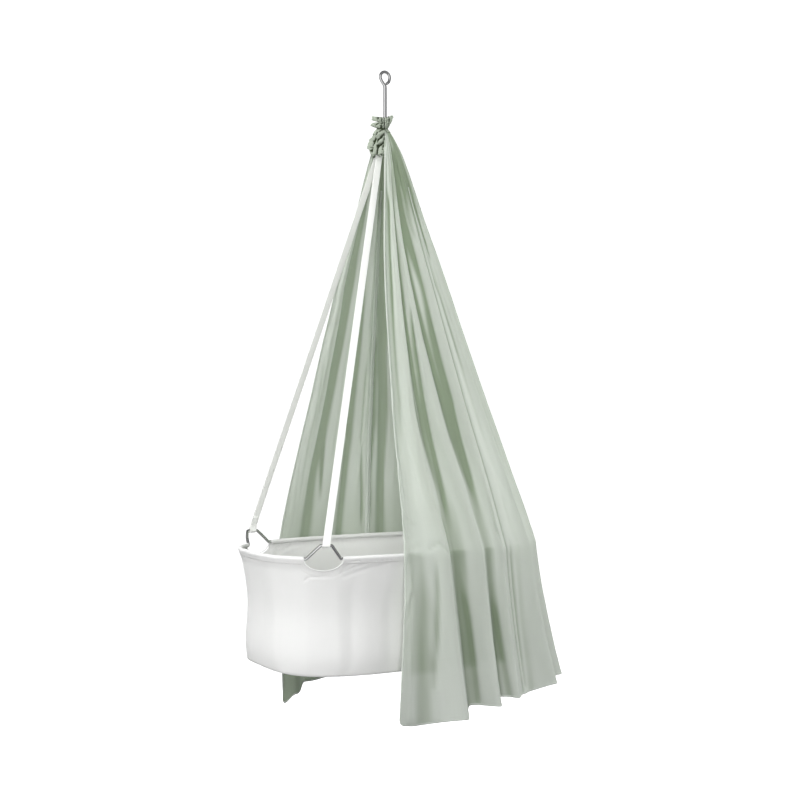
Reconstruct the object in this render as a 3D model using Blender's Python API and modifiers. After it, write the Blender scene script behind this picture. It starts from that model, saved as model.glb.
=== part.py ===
"""Mosquito net canopy over a hanging cradle: gathered panels, a rod with an eye, straps and a cloth basket."""
import math
from collections import namedtuple

import bmesh
import bpy
import numpy as np
from mathutils import Matrix, Vector

# Lengths are in metres. The origin is where the eye bears on its ceiling hook, and the head end is at +X.

# Rim of the cradle: one bent steel rod, a rounded oblong seen from above, with four peaks for the straps.
RIM_HALF_LENGTH = 0.382
RIM_HALF_WIDTH = 0.235
RIM_SQUARENESS = 2.9
RIM_Z = -1.251
RIM_ROD_RADIUS = 0.004
PEAK_HEIGHT = 0.034
PEAK_HALF_BASE = 0.042
PEAK_HALF_TOP = 0.0135
PEAK_GIRTH = 0.237          # from the head end of the rim to the middle of a head peak, along the rod

PEAK_BEND = 0.005            # how much of the rod on each side of a peak's foot goes into the bend there

# Each peak: which end and side it is on, and how its top stands off and turns from the rim line.
Peak = namedtuple("Peak", "name at_foot side lean_out shift_to_head turn_degrees")
PEAKS = (
    Peak("near_foot", True, -1, 0.012, 0.006, 0.0),
    Peak("near_head", False, -1, -0.011, 0.0, 0.0),
    Peak("far_head", False, 1, -0.011, 0.0, 0.0),
    Peak("far_foot", True, 1, 0.016, -0.004, -28.0),
)

# Basket: a wall with a casing over the rim rod, scooped out at the peaks, and a floor.
BASKET_CLOTH = 0.0015
CASING_GAP = 0.0007
CASING_RADIUS = RIM_ROD_RADIUS + CASING_GAP + BASKET_CLOTH / 2
CASING_HEM_DROP = 0.0035    # from the bottom of the casing to where its hem lies flat inside the wall
CASING_HEM_GAP = 0.0015     # between the hem and the wall
HEM_LENGTH = 0.010
SCOOP_HALF_WIDTH = 0.047
SCOOP_DEPTH = 0.028
CASING_STEP = 0.066
BASKET_BOTTOM_Z = -1.532
BASKET_SIDE_SAG = 0.008
SEAM_ALLOWANCE = 0.008
SEAM_CORNER = (0.002, 0.003)    # run and rise of the bevel where the wall turns in under the floor
FLOOR_SAG = 0.006
PIECE_GAP = 0.0003
# Rows: fraction of the way down the wall, and how far in from the casing the wall is there.
WALL_PROFILE = ((0.0, 0.0), (0.12, 0.011), (0.50, 0.024), (0.85, 0.019), (1.0, 0.023))

# Straps: two slings of webbing, each over one arm of the crossbar and round a near and a far peak.
STRAP_WIDTH = 0.0190
STRAP_CLOTH = 0.0015
STRAP_WRAP_GAP = 0.00048    # between steel and the bends of a strap round it, which are 30 degree chords
STRAP_SETTLE = 0.008        # below the crossbar, where the two runs of a sling hang free of each other
STRAP_STITCH = 0.013        # from the middle of the loop to where the tail lies flat on the run
STRAP_TAIL = 0.024
STRAP_ON_BAR = 0.0208

# Rod: eye on top, crossbar for the straps at the bottom.
ROD_RADIUS = 0.0046
EYE_WIRE_RADIUS = 0.0038
EYE_HALF_WIDTH = 0.0142
EYE_CENTRE_DROP = 0.0105
EYE_NECK_Z = -0.032
# Rows: across, and above the neck. The rod bends aside to start the eye, and its end comes back to the neck.
EYE_START = ((0.0, -0.006), (-0.0006, -0.001), (-0.0042, 0.0035), (-0.0090, 0.0085))
EYE_END = ((0.0121, 0.0118), (0.0108, 0.0098), (0.0052, 0.0052))
CROSSBAR_Z = -0.218
CROSSBAR_HALF_LENGTH = 0.0330
CROSSBAR_RADIUS = 0.0034
CROSSBAR_END_RADIUS = 0.0050
CROSSBAR_END_LENGTH = 0.0012

# Canopy: how wide it is at each height, as a share of the line where it passes the rim.
CANOPY_CLOTH = 0.0012
CANOPY_TOP_Z = -0.1563
CANOPY_CLEARANCE = 0.0095
HEM_Z = -1.642
FLARE_START_POWER = 1.3     # how late below the rim the flare of the cloth begins
DROP_START_POWER = 1.5      # the same for the hem's drop
NEAR_TOP_SHARE = 0.2        # the folds fade out where the canopy is narrower than this share of the rim line
# Rows: height, and share of the rim line.
CANOPY_PROFILE = (
    (CANOPY_TOP_Z, 0.034),
    (-0.171, 0.058),
    (-0.219, 0.118),
    (-0.353, 0.224),
    (-0.600, 0.440),
    (-0.867, 0.672),
    (-1.080, 0.862),
    (RIM_Z, 1.000),
)
# Rows: girth, and how far out the cloth stands at the hem.
HEM_FLARE = ((-0.70, 0.030), (-0.50, 0.042), (-0.30, 0.054), (0.0, 0.072),
             (0.30, 0.064), (0.55, 0.040), (0.85, 0.020))

# Lines down the canopy: edges, seams and the ridge and trough of each fold, in order round the rim line.
# Girth is measured along the rim line from the head end, at four heights. Out is how far the line stands
# proud of the plain surface there. Drop is how far the hem hangs below its mean height at the line.
LINE_HEIGHTS = (-0.353, -0.867, RIM_Z, HEM_Z)
Line = namedtuple("Line", "name girths outs drop")
NEAR_PANEL_LINES = (
    Line("near edge", (-0.690, -0.648, -0.624, -0.656), (0.000, 0.004, 0.006, 0.012), 0.013),
    Line("near trough", (-0.662, -0.630, -0.604, -0.612), (-0.004, -0.010, 0.003, -0.002), 0.020),
    Line("ridge a", (-0.605, -0.578, -0.515, -0.488), (0.008, 0.014, 0.024, 0.034), 0.010),
    Line("trough ab", (-0.560, -0.527, -0.474, -0.446), (-0.002, -0.012, 0.002, -0.014), -0.010),
    Line("ridge b", (-0.532, -0.482, -0.410, -0.394), (0.005, 0.012, 0.022, 0.030), -0.010),
    Line("trough bc", (-0.490, -0.408, -0.370, -0.358), (-0.008, -0.018, 0.002, -0.016), -0.020),
    Line("ridge c", (-0.385, -0.350, -0.336, -0.330), (0.008, 0.012, 0.014, 0.016), -0.019),
    Line("near seam", (-0.318, -0.312, -0.305, -0.300), (0.002, 0.003, 0.006, 0.004), -0.021),
)
BACK_PANEL_LINES = (
    Line("near seam", (-0.318, -0.312, -0.305, -0.300), (0.002, 0.003, 0.006, 0.004), -0.021),
    Line("trough cd", (-0.280, -0.276, -0.272, -0.272), (-0.003, -0.006, 0.003, -0.006), -0.021),
    Line("ridge d", (-0.240, -0.232, -0.222, -0.214), (0.006, 0.010, 0.018, 0.030), -0.033),
    Line("trough de", (-0.192, -0.186, -0.180, -0.180), (-0.005, -0.010, 0.002, -0.014), -0.033),
    Line("ridge e", (-0.142, -0.136, -0.130, -0.128), (0.007, 0.012, 0.018, 0.026), -0.032),
    Line("trough ef", (-0.086, -0.082, -0.078, -0.080), (-0.005, -0.009, 0.003, -0.010), -0.028),
    Line("ridge f", (-0.030, -0.026, -0.018, -0.012), (0.006, 0.011, 0.019, 0.028), -0.022),
    Line("trough fg", (0.030, 0.036, 0.040, 0.044), (-0.004, -0.010, 0.002, -0.014), -0.020),
    Line("ridge g", (0.082, 0.086, 0.092, 0.098), (0.005, 0.009, 0.015, 0.020), -0.016),
    Line("trough gh", (0.132, 0.138, 0.146, 0.150), (-0.005, -0.008, 0.003, -0.008), -0.014),
    Line("ridge h", (0.190, 0.198, 0.206, 0.212), (0.007, 0.012, 0.020, 0.030), -0.004),
    Line("trough hi", (0.246, 0.252, 0.262, 0.262), (-0.004, -0.008, 0.003, -0.010), -0.006),
    Line("ridge i", (0.298, 0.306, 0.318, 0.322), (0.006, 0.010, 0.016, 0.024), -0.002),
    Line("trough ij", (0.350, 0.358, 0.366, 0.370), (-0.005, -0.010, 0.002, -0.010), -0.004),
    Line("ridge j", (0.410, 0.412, 0.410, 0.420), (0.006, 0.012, 0.018, 0.026), 0.0),
    Line("far seam", (0.476, 0.470, 0.458, 0.462), (0.000, -0.002, 0.004, 0.004), -0.002),
)
FAR_PANEL_LINES = (
    Line("far seam", (0.476, 0.470, 0.458, 0.462), (0.000, -0.002, 0.004, 0.004), -0.002),
    Line("trough jk", (0.512, 0.506, 0.496, 0.494), (-0.006, -0.010, 0.002, -0.008), 0.0),
    Line("ridge k", (0.556, 0.548, 0.542, 0.536), (0.006, 0.012, 0.016, 0.024), 0.003),
    Line("trough kl", (0.604, 0.602, 0.590, 0.574), (-0.006, -0.012, 0.003, -0.008), 0.008),
    Line("ridge l", (0.672, 0.660, 0.650, 0.622), (0.008, 0.014, 0.018, 0.024), 0.022),
    Line("trough lm", (0.738, 0.716, 0.702, 0.668), (-0.004, -0.006, 0.004, -0.004), 0.044),
    Line("far edge", (0.790, 0.756, 0.738, 0.704), (0.002, 0.002, 0.004, 0.008), 0.070),
)
STEPS_PER_FOLD = 3
SEAM_TRIM = PIECE_GAP * 0.6    # taken off each of the two panels along a seam
OUTWARD_REACH = 0.05        # how far along the rim line its outward direction is averaged for the canopy
CANOPY_ROWS = (CANOPY_TOP_Z, -0.175, -0.215, -0.275, -0.353, -0.520, -0.700, -0.867, -1.070, RIM_Z,
               -1.340, -1.490, HEM_Z)

# Heading: the gathered end of the cloth above the canopy's top, pinched to the rod, with a frill on top.
# Each row is one direction seen from above, in degrees from +X, with the cloth's radii and heights there.
HEADING_CLOTH = 0.0012
HEADING_SIDES = 48
HeadingRow = namedtuple("HeadingRow", "degrees skirt_spread skirt_drop pinch_radius frill_radius frill_z")
HEADING = (
    HeadingRow(0.0, 0.0, 0.0, 0.0058, 0.0200, -0.1145),
    HeadingRow(24.0, 0.0, 0.0, 0.0055, 0.0110, -0.1195),
    HeadingRow(50.0, 0.0, 0.0, 0.0058, 0.0190, -0.1170),
    HeadingRow(78.0, 0.0, 0.0, 0.0056, 0.0110, -0.1200),
    HeadingRow(104.0, 0.0, 0.0, 0.0062, 0.0230, -0.1180),
    HeadingRow(128.0, 0.0, 0.0, 0.0070, 0.0170, -0.1240),
    HeadingRow(146.0, 0.0, 0.0, 0.0095, 0.0390, -0.1205),
    HeadingRow(164.0, 0.0100, 0.0330, 0.0110, 0.0300, -0.1260),
    HeadingRow(180.0, 0.0115, 0.0460, 0.0110, 0.0360, -0.1240),
    HeadingRow(200.0, 0.0130, 0.0500, 0.0120, 0.0230, -0.1230),
    HeadingRow(216.0, 0.0110, 0.0400, 0.0105, 0.0280, -0.1230),
    HeadingRow(234.0, 0.0, 0.0, 0.0085, 0.0160, -0.1250),
    HeadingRow(256.0, 0.0, 0.0, 0.0066, 0.0170, -0.1190),
    HeadingRow(284.0, 0.0, 0.0, 0.0058, 0.0120, -0.1200),
    HeadingRow(310.0, 0.0, 0.0, 0.0057, 0.0210, -0.1150),
    HeadingRow(336.0, 0.0, 0.0, 0.0055, 0.0120, -0.1180),
)
PINCH_Z = -0.1480
SKIRT_GAP = 0.0008

WELD_DISTANCE = 0.00001

# Each finish: colour, roughness and how metallic it is.
MATERIALS = {
    "steel": ((0.62, 0.62, 0.62), 0.25, 1.0),
    "white cotton": ((0.86, 0.86, 0.85), 0.85, 0.0),
    "white webbing": ((0.88, 0.88, 0.87), 0.80, 0.0),
    "green cotton": ((0.50, 0.57, 0.46), 0.85, 0.0),
}


def clear_scene():
    for scene_object in list(bpy.data.objects):
        bpy.data.objects.remove(scene_object, do_unlink=True)


def parts_collection():
    collection = bpy.data.collections.new("hanging_cradle_canopy")
    bpy.context.scene.collection.children.link(collection)
    return collection


def material(name, finish):
    colour, roughness, metallic = MATERIALS[finish]
    made = bpy.data.materials.new(name)
    made.use_nodes = True
    shader = made.node_tree.nodes["Principled BSDF"]
    shader.inputs["Base Color"].default_value = (*colour, 1.0)
    shader.inputs["Roughness"].default_value = roughness
    shader.inputs["Metallic"].default_value = metallic
    return made


def smooth_curve(stations, values, at):
    """Values on a smooth curve through a table's column, with no overshoot between its rows."""
    x = np.asarray(stations, dtype=float)
    y = np.asarray(values, dtype=float)
    at = np.clip(np.asarray(at, dtype=float), min(x[0], x[-1]), max(x[0], x[-1]))
    if x[0] > x[-1]:
        x, y = x[::-1], y[::-1]
    step = np.diff(x)
    rise = np.diff(y) / step
    slope = np.concatenate(([rise[0]], np.zeros(len(x) - 2), [rise[-1]]))
    same_way = rise[:-1] * rise[1:] > 0
    both = np.where(same_way, rise[:-1] + rise[1:], 1.0)
    slope[1:-1] = np.where(same_way, 2 * rise[:-1] * rise[1:] / both, 0.0)
    i = np.clip(np.searchsorted(x, at, side="right") - 1, 0, len(x) - 2)
    t = (at - x[i]) / step[i]
    start = y[i] * (1 + 2 * t) * (1 - t) ** 2 + slope[i] * step[i] * t * (1 - t) ** 2
    end = y[i + 1] * t * t * (3 - 2 * t) - slope[i + 1] * step[i] * t * t * (1 - t)
    return start + end


class RoundedOblong:
    """A closed plan outline, read by the distance along it from the head end, positive on the far side."""

    def __init__(self, half_length, half_width, squareness):
        angle = np.linspace(-math.pi, math.pi, 8001)
        power = 2 / squareness
        self.x = half_length * np.sign(np.cos(angle)) * np.abs(np.cos(angle)) ** power
        self.y = half_width * np.sign(np.sin(angle)) * np.abs(np.sin(angle)) ** power
        length = np.concatenate(([0.0], np.cumsum(np.hypot(np.diff(self.x), np.diff(self.y)))))
        self.half_girth = length[-1] / 2
        self.girth = length - self.half_girth

    def point(self, girth):
        wrapped = (np.asarray(girth) + self.half_girth) % (2 * self.half_girth) - self.half_girth
        return np.interp(wrapped, self.girth, self.x), np.interp(wrapped, self.girth, self.y)

    def outward(self, girth, reach=0.012):
        x0, y0 = self.point(np.asarray(girth) - reach)
        x1, y1 = self.point(np.asarray(girth) + reach)
        length = np.hypot(x1 - x0, y1 - y0)
        return (y1 - y0) / length, -(x1 - x0) / length


RIM = RoundedOblong(RIM_HALF_LENGTH, RIM_HALF_WIDTH, RIM_SQUARENESS)
RIM_LINE = RoundedOblong(RIM_HALF_LENGTH + CANOPY_CLEARANCE, RIM_HALF_WIDTH + CANOPY_CLEARANCE,
                         RIM_SQUARENESS)


def peak_girth(peak):
    return peak.side * (RIM.half_girth - PEAK_GIRTH if peak.at_foot else PEAK_GIRTH)


def peak_rise(offset):
    """How far up its peak the rod is, from 0 to 1, at a distance along the rim from the peak's middle."""
    share = (PEAK_HALF_BASE - abs(offset)) / (PEAK_HALF_BASE - PEAK_HALF_TOP)
    return min(max(share, 0.0), 1.0)


def peak_point(peak, offset):
    """Centre line of the rod at a distance along the rim from the middle of a peak."""
    rise = peak_rise(offset)
    middle = peak_girth(peak) - peak.side * rise * peak.shift_to_head
    x, y = RIM.point(middle + offset * (1 - rise))
    out_x, out_y = RIM.outward(middle)
    lean = rise * peak.lean_out
    along = Vector((float(-out_y), float(out_x), 0.0)) * offset * rise
    along.rotate(Matrix.Rotation(math.radians(peak.turn_degrees), 3, "Z"))
    return along + Vector((float(x + out_x * lean), float(y + out_y * lean), RIM_Z + rise * PEAK_HEIGHT))


def casing_girths(index):
    """Girths of the casing's sections, from the mouth after one peak to the mouth before the next."""
    start = peak_girth(PEAKS[index]) + SCOOP_HALF_WIDTH
    end = peak_girth(PEAKS[(index + 1) % len(PEAKS)]) - SCOOP_HALF_WIDTH
    if end < start:
        end += 2 * RIM.half_girth
    steps = math.ceil((end - start) / CASING_STEP)
    return [start + (end - start) * step / steps for step in range(steps + 1)]


def rim_rod_points():
    """The rod's centre line all the way round: each peak, then the run of rim after it."""
    bends = (PEAK_HALF_BASE + PEAK_BEND / 5, PEAK_HALF_BASE - PEAK_BEND, PEAK_HALF_TOP)
    offsets = [-bend for bend in bends] + list(reversed(bends))
    points = []
    for index, peak in enumerate(PEAKS):
        points += [peak_point(peak, offset) for offset in offsets]
        for girth in casing_girths(index):
            x, y = RIM.point(girth)
            points.append(Vector((float(x), float(y), RIM_Z)))
    return points


def wire(name, points, radius, collection, closed=False, resolution=2, radii=None):
    """A round wire along a centre line, as a mesh whose caps are welded."""
    curve = bpy.data.curves.new(name + "_line", "CURVE")
    curve.dimensions = "3D"
    curve.bevel_depth = radius
    curve.bevel_resolution = resolution
    curve.use_fill_caps = True
    spline = curve.splines.new("POLY")
    spline.points.add(len(points) - 1)
    for index, point in enumerate(points):
        spline.points[index].co = (*point, 1.0)
        spline.points[index].radius = radii[index] if radii else 1.0
    spline.use_cyclic_u = closed
    guide = bpy.data.objects.new(name + "_guide", curve)
    collection.objects.link(guide)
    bpy.context.view_layer.update()
    evaluated = guide.evaluated_get(bpy.context.evaluated_depsgraph_get())
    mesh = bpy.data.meshes.new_from_object(evaluated)
    mesh.name = name
    bpy.data.objects.remove(guide, do_unlink=True)
    made = bpy.data.objects.new(name, mesh)
    collection.objects.link(made)
    shape = bmesh.new()
    shape.from_mesh(mesh)
    bmesh.ops.remove_doubles(shape, verts=shape.verts, dist=WELD_DISTANCE)
    bmesh.ops.recalc_face_normals(shape, faces=shape.faces)
    shape.to_mesh(mesh)
    shape.free()
    mesh.shade_smooth()
    return made


def sheet(name, points, thickness, collection, closed=False, keep=None):
    """Cloth from rows of points: a grid moved onto them and thickened evenly to both sides."""
    rows, columns = points.shape[:2]
    shape = bmesh.new()
    bmesh.ops.create_grid(shape, x_segments=columns - 1, y_segments=rows - 1, size=0.5)
    shape.verts.ensure_lookup_table()
    for index, vertex in enumerate(shape.verts):
        vertex.co = points[index // columns, index % columns]
    if keep is not None:
        shape.faces.ensure_lookup_table()
        spare = [face for index, face in enumerate(shape.faces)
                 if not keep(index // (columns - 1), index % (columns - 1))]
        bmesh.ops.delete(shape, geom=spare, context="FACES")
    if closed:
        bmesh.ops.remove_doubles(shape, verts=shape.verts, dist=WELD_DISTANCE)
    bmesh.ops.recalc_face_normals(shape, faces=shape.faces)
    mesh = bpy.data.meshes.new(name)
    shape.to_mesh(mesh)
    shape.free()
    mesh.shade_smooth()
    made = bpy.data.objects.new(name, mesh)
    collection.objects.link(made)
    solidify = made.modifiers.new("cloth", "SOLIDIFY")
    solidify.thickness = thickness
    solidify.offset = 0.0
    return made


def finish(made, surface):
    made.data.materials.clear()
    made.data.materials.append(material(made.name + "_finish", surface))
    return made


def make_rim_rod(collection):
    return finish(wire("rim_rod", rim_rod_points(), RIM_ROD_RADIUS, collection, closed=True), "steel")


def eye_points():
    """The rod's line from the crossbar up and once round the eye, over its top and back down to the neck."""
    centre_z = -EYE_CENTRE_DROP
    half_height = EYE_CENTRE_DROP + EYE_WIRE_RADIUS
    points = [Vector((0.0, 0.0, CROSSBAR_Z)), Vector((0.0, 0.0, CROSSBAR_Z / 2))]
    points += [Vector((across, 0.0, EYE_NECK_Z + above)) for across, above in EYE_START]
    for degrees in range(205, -21, -15):
        angle = math.radians(degrees)
        across = EYE_HALF_WIDTH * math.cos(angle)
        points.append(Vector((across, 0.0, centre_z + half_height * math.sin(angle))))
    return points + [Vector((across, 0.0, EYE_NECK_Z + above)) for across, above in EYE_END]


def make_hanging_rod(collection):
    points = eye_points()
    eye_scale = EYE_WIRE_RADIUS / ROD_RADIUS
    radii = [1.0, 1.0, 1.0, 0.95] + [eye_scale] * (len(points) - 4)
    rod = wire("hanging_rod", points, ROD_RADIUS, collection, resolution=3, radii=radii)
    end_scale = CROSSBAR_END_RADIUS / CROSSBAR_RADIUS
    inner = CROSSBAR_HALF_LENGTH - CROSSBAR_END_LENGTH
    stations = ((CROSSBAR_HALF_LENGTH, end_scale), (inner, end_scale), (inner - 0.0001, 1.0))
    stations += tuple((-x, scale) for x, scale in reversed(stations))
    bar_points = [Vector((x, 0.0, CROSSBAR_Z)) for x, _ in stations]
    bar = wire("crossbar", bar_points, CROSSBAR_RADIUS, collection, radii=[scale for _, scale in stations])
    union = rod.modifiers.new("crossbar", "BOOLEAN")
    union.operation = "UNION"
    union.object = bar
    bpy.context.view_layer.update()
    joined = bpy.data.meshes.new_from_object(rod.evaluated_get(bpy.context.evaluated_depsgraph_get()))
    rod.modifiers.remove(union)
    rod.data = joined
    joined.name = "hanging_rod"
    bpy.data.objects.remove(bar, do_unlink=True)
    return finish(rod, "steel")


def strap_side(peak, bar_x):
    """One run of a sling: from the top of the crossbar down one side to its peak, and the loop round it."""
    top_ends = (peak_point(peak, -PEAK_HALF_TOP), peak_point(peak, PEAK_HALF_TOP))
    top_mid = (top_ends[0] + top_ends[1]) / 2
    along = (top_ends[1] - top_ends[0]).normalized()
    if along.x < 0:
        along = -along
    bar_wrap = CROSSBAR_RADIUS + STRAP_WRAP_GAP + STRAP_CLOTH / 2
    loop_wrap = RIM_ROD_RADIUS + STRAP_WRAP_GAP + STRAP_CLOTH / 2
    across = Vector((1.0, 0.0, 0.0))
    rows = []
    for degrees in (90, 60, 30, 0):
        angle = math.radians(degrees)
        round_bar = Vector((0.0, peak.side * math.cos(angle), math.sin(angle))) * bar_wrap
        rows.append((Vector((bar_x, 0.0, CROSSBAR_Z)) + round_bar, across))
    start = Vector((bar_x, peak.side * (bar_wrap + 2 * PIECE_GAP), CROSSBAR_Z - STRAP_SETTLE))
    run = (top_mid - start).normalized()
    out = along.cross(run)
    outward = Vector((top_mid.x, top_mid.y, 0.0))
    if out.dot(outward) < 0:
        out = -out
    landing = top_mid + out * loop_wrap
    for share in (0.0, 0.06, 0.2, 0.4, 0.6, 0.8, 0.95):
        turn = min(share / 0.8, 1.0)
        rows.append((start.lerp(landing, share), across.lerp(along, turn).normalized()))
    for degrees in range(0, 181, 30):
        angle = math.radians(degrees)
        rows.append((top_mid + (out * math.cos(angle) + run * math.sin(angle)) * loop_wrap, along))
    behind = top_mid + out * (loop_wrap - STRAP_CLOTH - PIECE_GAP)
    rows.append((top_mid - out * loop_wrap * 0.8 - run * STRAP_STITCH * 0.3, along))
    rows.append((behind - run * STRAP_STITCH, along))
    rows.append((behind - run * (STRAP_STITCH + STRAP_TAIL), along))
    return rows


def make_strap(name, near_peak, far_peak, bar_x, collection):
    near = strap_side(near_peak, bar_x)
    far = strap_side(far_peak, bar_x)
    rows = list(reversed(near)) + far[1:]
    half = STRAP_WIDTH / 2
    points = np.array([[centre - across * half, centre + across * half] for centre, across in rows])
    return finish(sheet(name, points, STRAP_CLOTH, collection), "white webbing")


def wall_columns():
    """Girths of the basket wall's columns, closer together across the scoops, with the last on the first."""
    girths = []
    for index, peak in enumerate(PEAKS):
        middle = peak_girth(peak)
        girths += [middle + SCOOP_HALF_WIDTH * share for share in (-1.0, -0.82, -0.45, 0.0, 0.45, 0.82)]
        girths += casing_girths(index)[:-1]
    return girths + [girths[0] + 2 * RIM.half_girth]


def scoop_drop(girth):
    """How far the wall's top edge is scooped down at a girth."""
    for peak in PEAKS:
        offset = girth - peak_girth(peak)
        offset = (offset + RIM.half_girth) % (2 * RIM.half_girth) - RIM.half_girth
        share = abs(offset) / SCOOP_HALF_WIDTH
        if share < 0.999:
            return SCOOP_DEPTH * math.sqrt(1 - share * share)
    return 0.0


def wall_bottom_z(girth):
    _, out_y = RIM.outward(girth)
    return BASKET_BOTTOM_Z - BASKET_SIDE_SAG * abs(float(out_y))


def wall_section(girth):
    """The wall's section at a girth: offsets out from the rim line, and heights, from the bottom hem up."""
    top_z = RIM_Z - scoop_drop(girth)
    bottom_z = wall_bottom_z(girth)
    foot_inset = WALL_PROFILE[-1][1]
    section = []
    section.append((CASING_RADIUS - foot_inset - SEAM_ALLOWANCE, bottom_z))
    section.append((CASING_RADIUS - foot_inset - SEAM_CORNER[0], bottom_z))
    section.append((CASING_RADIUS - foot_inset, bottom_z + SEAM_CORNER[1]))
    for share, inset in reversed(WALL_PROFILE[:-1]):
        section.append((CASING_RADIUS - inset, top_z + (bottom_z - top_z) * share))
    for degrees in (45, 90, 135, 180, 225, 262):
        angle = math.radians(degrees)
        section.append((CASING_RADIUS * math.cos(angle), RIM_Z + CASING_RADIUS * math.sin(angle)))
    hem_offset = CASING_RADIUS - BASKET_CLOTH - CASING_HEM_GAP
    hem_z = RIM_Z - CASING_RADIUS - CASING_HEM_DROP
    section.append((hem_offset, hem_z))
    section.append((hem_offset - HEM_LENGTH / 10, hem_z - HEM_LENGTH))
    return section


WALL_TOP_ROW = 6            # the row of the section at the wall's top edge, where the casing starts


def make_basket_wall(collection):
    girths = wall_columns()
    sections = [wall_section(girth) for girth in girths]
    points = np.zeros((len(sections[0]), len(girths), 3))
    for column, (girth, section) in enumerate(zip(girths, sections)):
        x, y = RIM.point(girth)
        out_x, out_y = RIM.outward(girth)
        for row, (offset, z) in enumerate(section):
            points[row, column] = (x + out_x * offset, y + out_y * offset, z)
    scooped = [scoop_drop((first + second) / 2) > 0 for first, second in zip(girths, girths[1:])]

    def keep(row, column):
        return row < WALL_TOP_ROW or not scooped[column]

    wall = sheet("basket_wall", points, BASKET_CLOTH, collection, closed=True, keep=keep)
    return finish(wall, "white cotton")


def make_basket_floor(collection):
    """A sheet that lies on the wall's turned-in seam allowance, in four rings round the middle."""
    girths = wall_columns()
    inset = CASING_RADIUS - WALL_PROFILE[-1][1] - SEAM_ALLOWANCE / 2
    points = np.zeros((4, len(girths), 3))
    for column, girth in enumerate(girths):
        x, y = RIM.point(girth)
        out_x, out_y = RIM.outward(girth)
        edge = Vector((float(x + out_x * inset), float(y + out_y * inset), 0.0))
        for row, share in enumerate((0.0, 0.75, 0.96, 1.0)):
            level = BASKET_BOTTOM_Z - FLOOR_SAG if share < 0.8 else wall_bottom_z(girth)
            points[row, column] = (*(edge * share).xy, level + BASKET_CLOTH + PIECE_GAP)
    return finish(sheet("basket_floor", points, BASKET_CLOTH, collection, closed=True), "white cotton")


def canopy_surface(lines, folds, heights):
    """Points of a panel: a row for each height, and a column for each place counted in folds from its edge."""
    first = np.minimum(np.floor(folds).astype(int), len(lines) - 2)
    share = folds - first
    ease = (1 - np.cos(np.pi * share)) / 2
    stations = (CANOPY_TOP_Z,) + LINE_HEIGHTS
    girth_tables = [line.girths[:1] + line.girths for line in lines]
    girth_lines = np.array([smooth_curve(stations, table, heights) for table in girth_tables]).T
    out_lines = np.array([smooth_curve(stations, (0.0,) + line.outs, heights) for line in lines]).T
    drop_lines = np.array([line.drop for line in lines])
    girth = girth_lines[:, first] * (1 - share) + girth_lines[:, first + 1] * share
    out = out_lines[:, first] * (1 - ease) + out_lines[:, first + 1] * ease
    drop = drop_lines[first] * (1 - ease) + drop_lines[first + 1] * ease
    level = np.asarray(heights)[:, None]
    below_rim = np.clip((RIM_Z - level) / (RIM_Z - HEM_Z), 0.0, 1.0)
    scale = smooth_curve(*zip(*CANOPY_PROFILE), heights)[:, None]
    flare = np.interp(girth, *zip(*HEM_FLARE)) * below_rim ** FLARE_START_POWER
    x, y = RIM_LINE.point(girth)
    out_x, out_y = RIM_LINE.outward(girth, OUTWARD_REACH)
    near_top = np.clip(scale / NEAR_TOP_SHARE, 0.0, 1.0)
    reach = out * near_top + flare
    z = level + np.zeros_like(girth) - drop * below_rim ** DROP_START_POWER
    return np.stack((x * scale + out_x * reach, y * scale + out_y * reach, z), axis=2)


def make_panel(name, lines, seam_first, seam_last, collection):
    folds = np.linspace(0, len(lines) - 1, (len(lines) - 1) * STEPS_PER_FOLD + 1)
    points = canopy_surface(lines, folds, np.array(CANOPY_ROWS))
    for is_seam, edge, inner in ((seam_first, 0, 1), (seam_last, -1, -2)):
        if is_seam:
            to_inner = points[:, inner] - points[:, edge]
            length = np.linalg.norm(to_inner, axis=1)[:, None]
            points[:, edge] += to_inner / length * np.minimum(SEAM_TRIM, length * 0.4)
    return finish(sheet(name, points, CANOPY_CLOTH, collection), "green cotton")


def canopy_top_radius(degrees):
    """How far from the rod the canopy's top edge is in one direction."""
    bearings = np.degrees(np.arctan2(RIM_LINE.y, RIM_LINE.x))
    distance = np.interp((degrees + 180) % 360 - 180, bearings, np.hypot(RIM_LINE.x, RIM_LINE.y))
    return float(distance) * CANOPY_PROFILE[0][1]


def make_heading(collection):
    points = np.zeros((5, HEADING_SIDES + 1, 3))
    closed_table = np.array(HEADING + (HEADING[0]._replace(degrees=360.0),))
    for column in range(HEADING_SIDES + 1):
        at = column / HEADING_SIDES * 360.0
        row_here = HeadingRow(*(float(smooth_curve(closed_table[:, 0], kind, at)) for kind in closed_table.T))
        skirt_radius = canopy_top_radius(at) + row_here.skirt_spread
        skirt_z = CANOPY_TOP_Z + SKIRT_GAP - row_here.skirt_drop
        section = (
            (skirt_radius, skirt_z),
            (skirt_radius * 0.55 + row_here.pinch_radius * 0.45, (skirt_z + PINCH_Z) / 2),
            (row_here.pinch_radius, PINCH_Z),
            ((row_here.pinch_radius + row_here.frill_radius) / 2, (row_here.frill_z + PINCH_Z) / 2),
            (row_here.frill_radius, row_here.frill_z),
        )
        for row, (radius, z) in enumerate(section):
            angle = math.radians(at)
            points[row, column] = (radius * math.cos(angle), radius * math.sin(angle), z)
    return finish(sheet("canopy_heading", points, HEADING_CLOTH, collection, closed=True), "green cotton")


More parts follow.
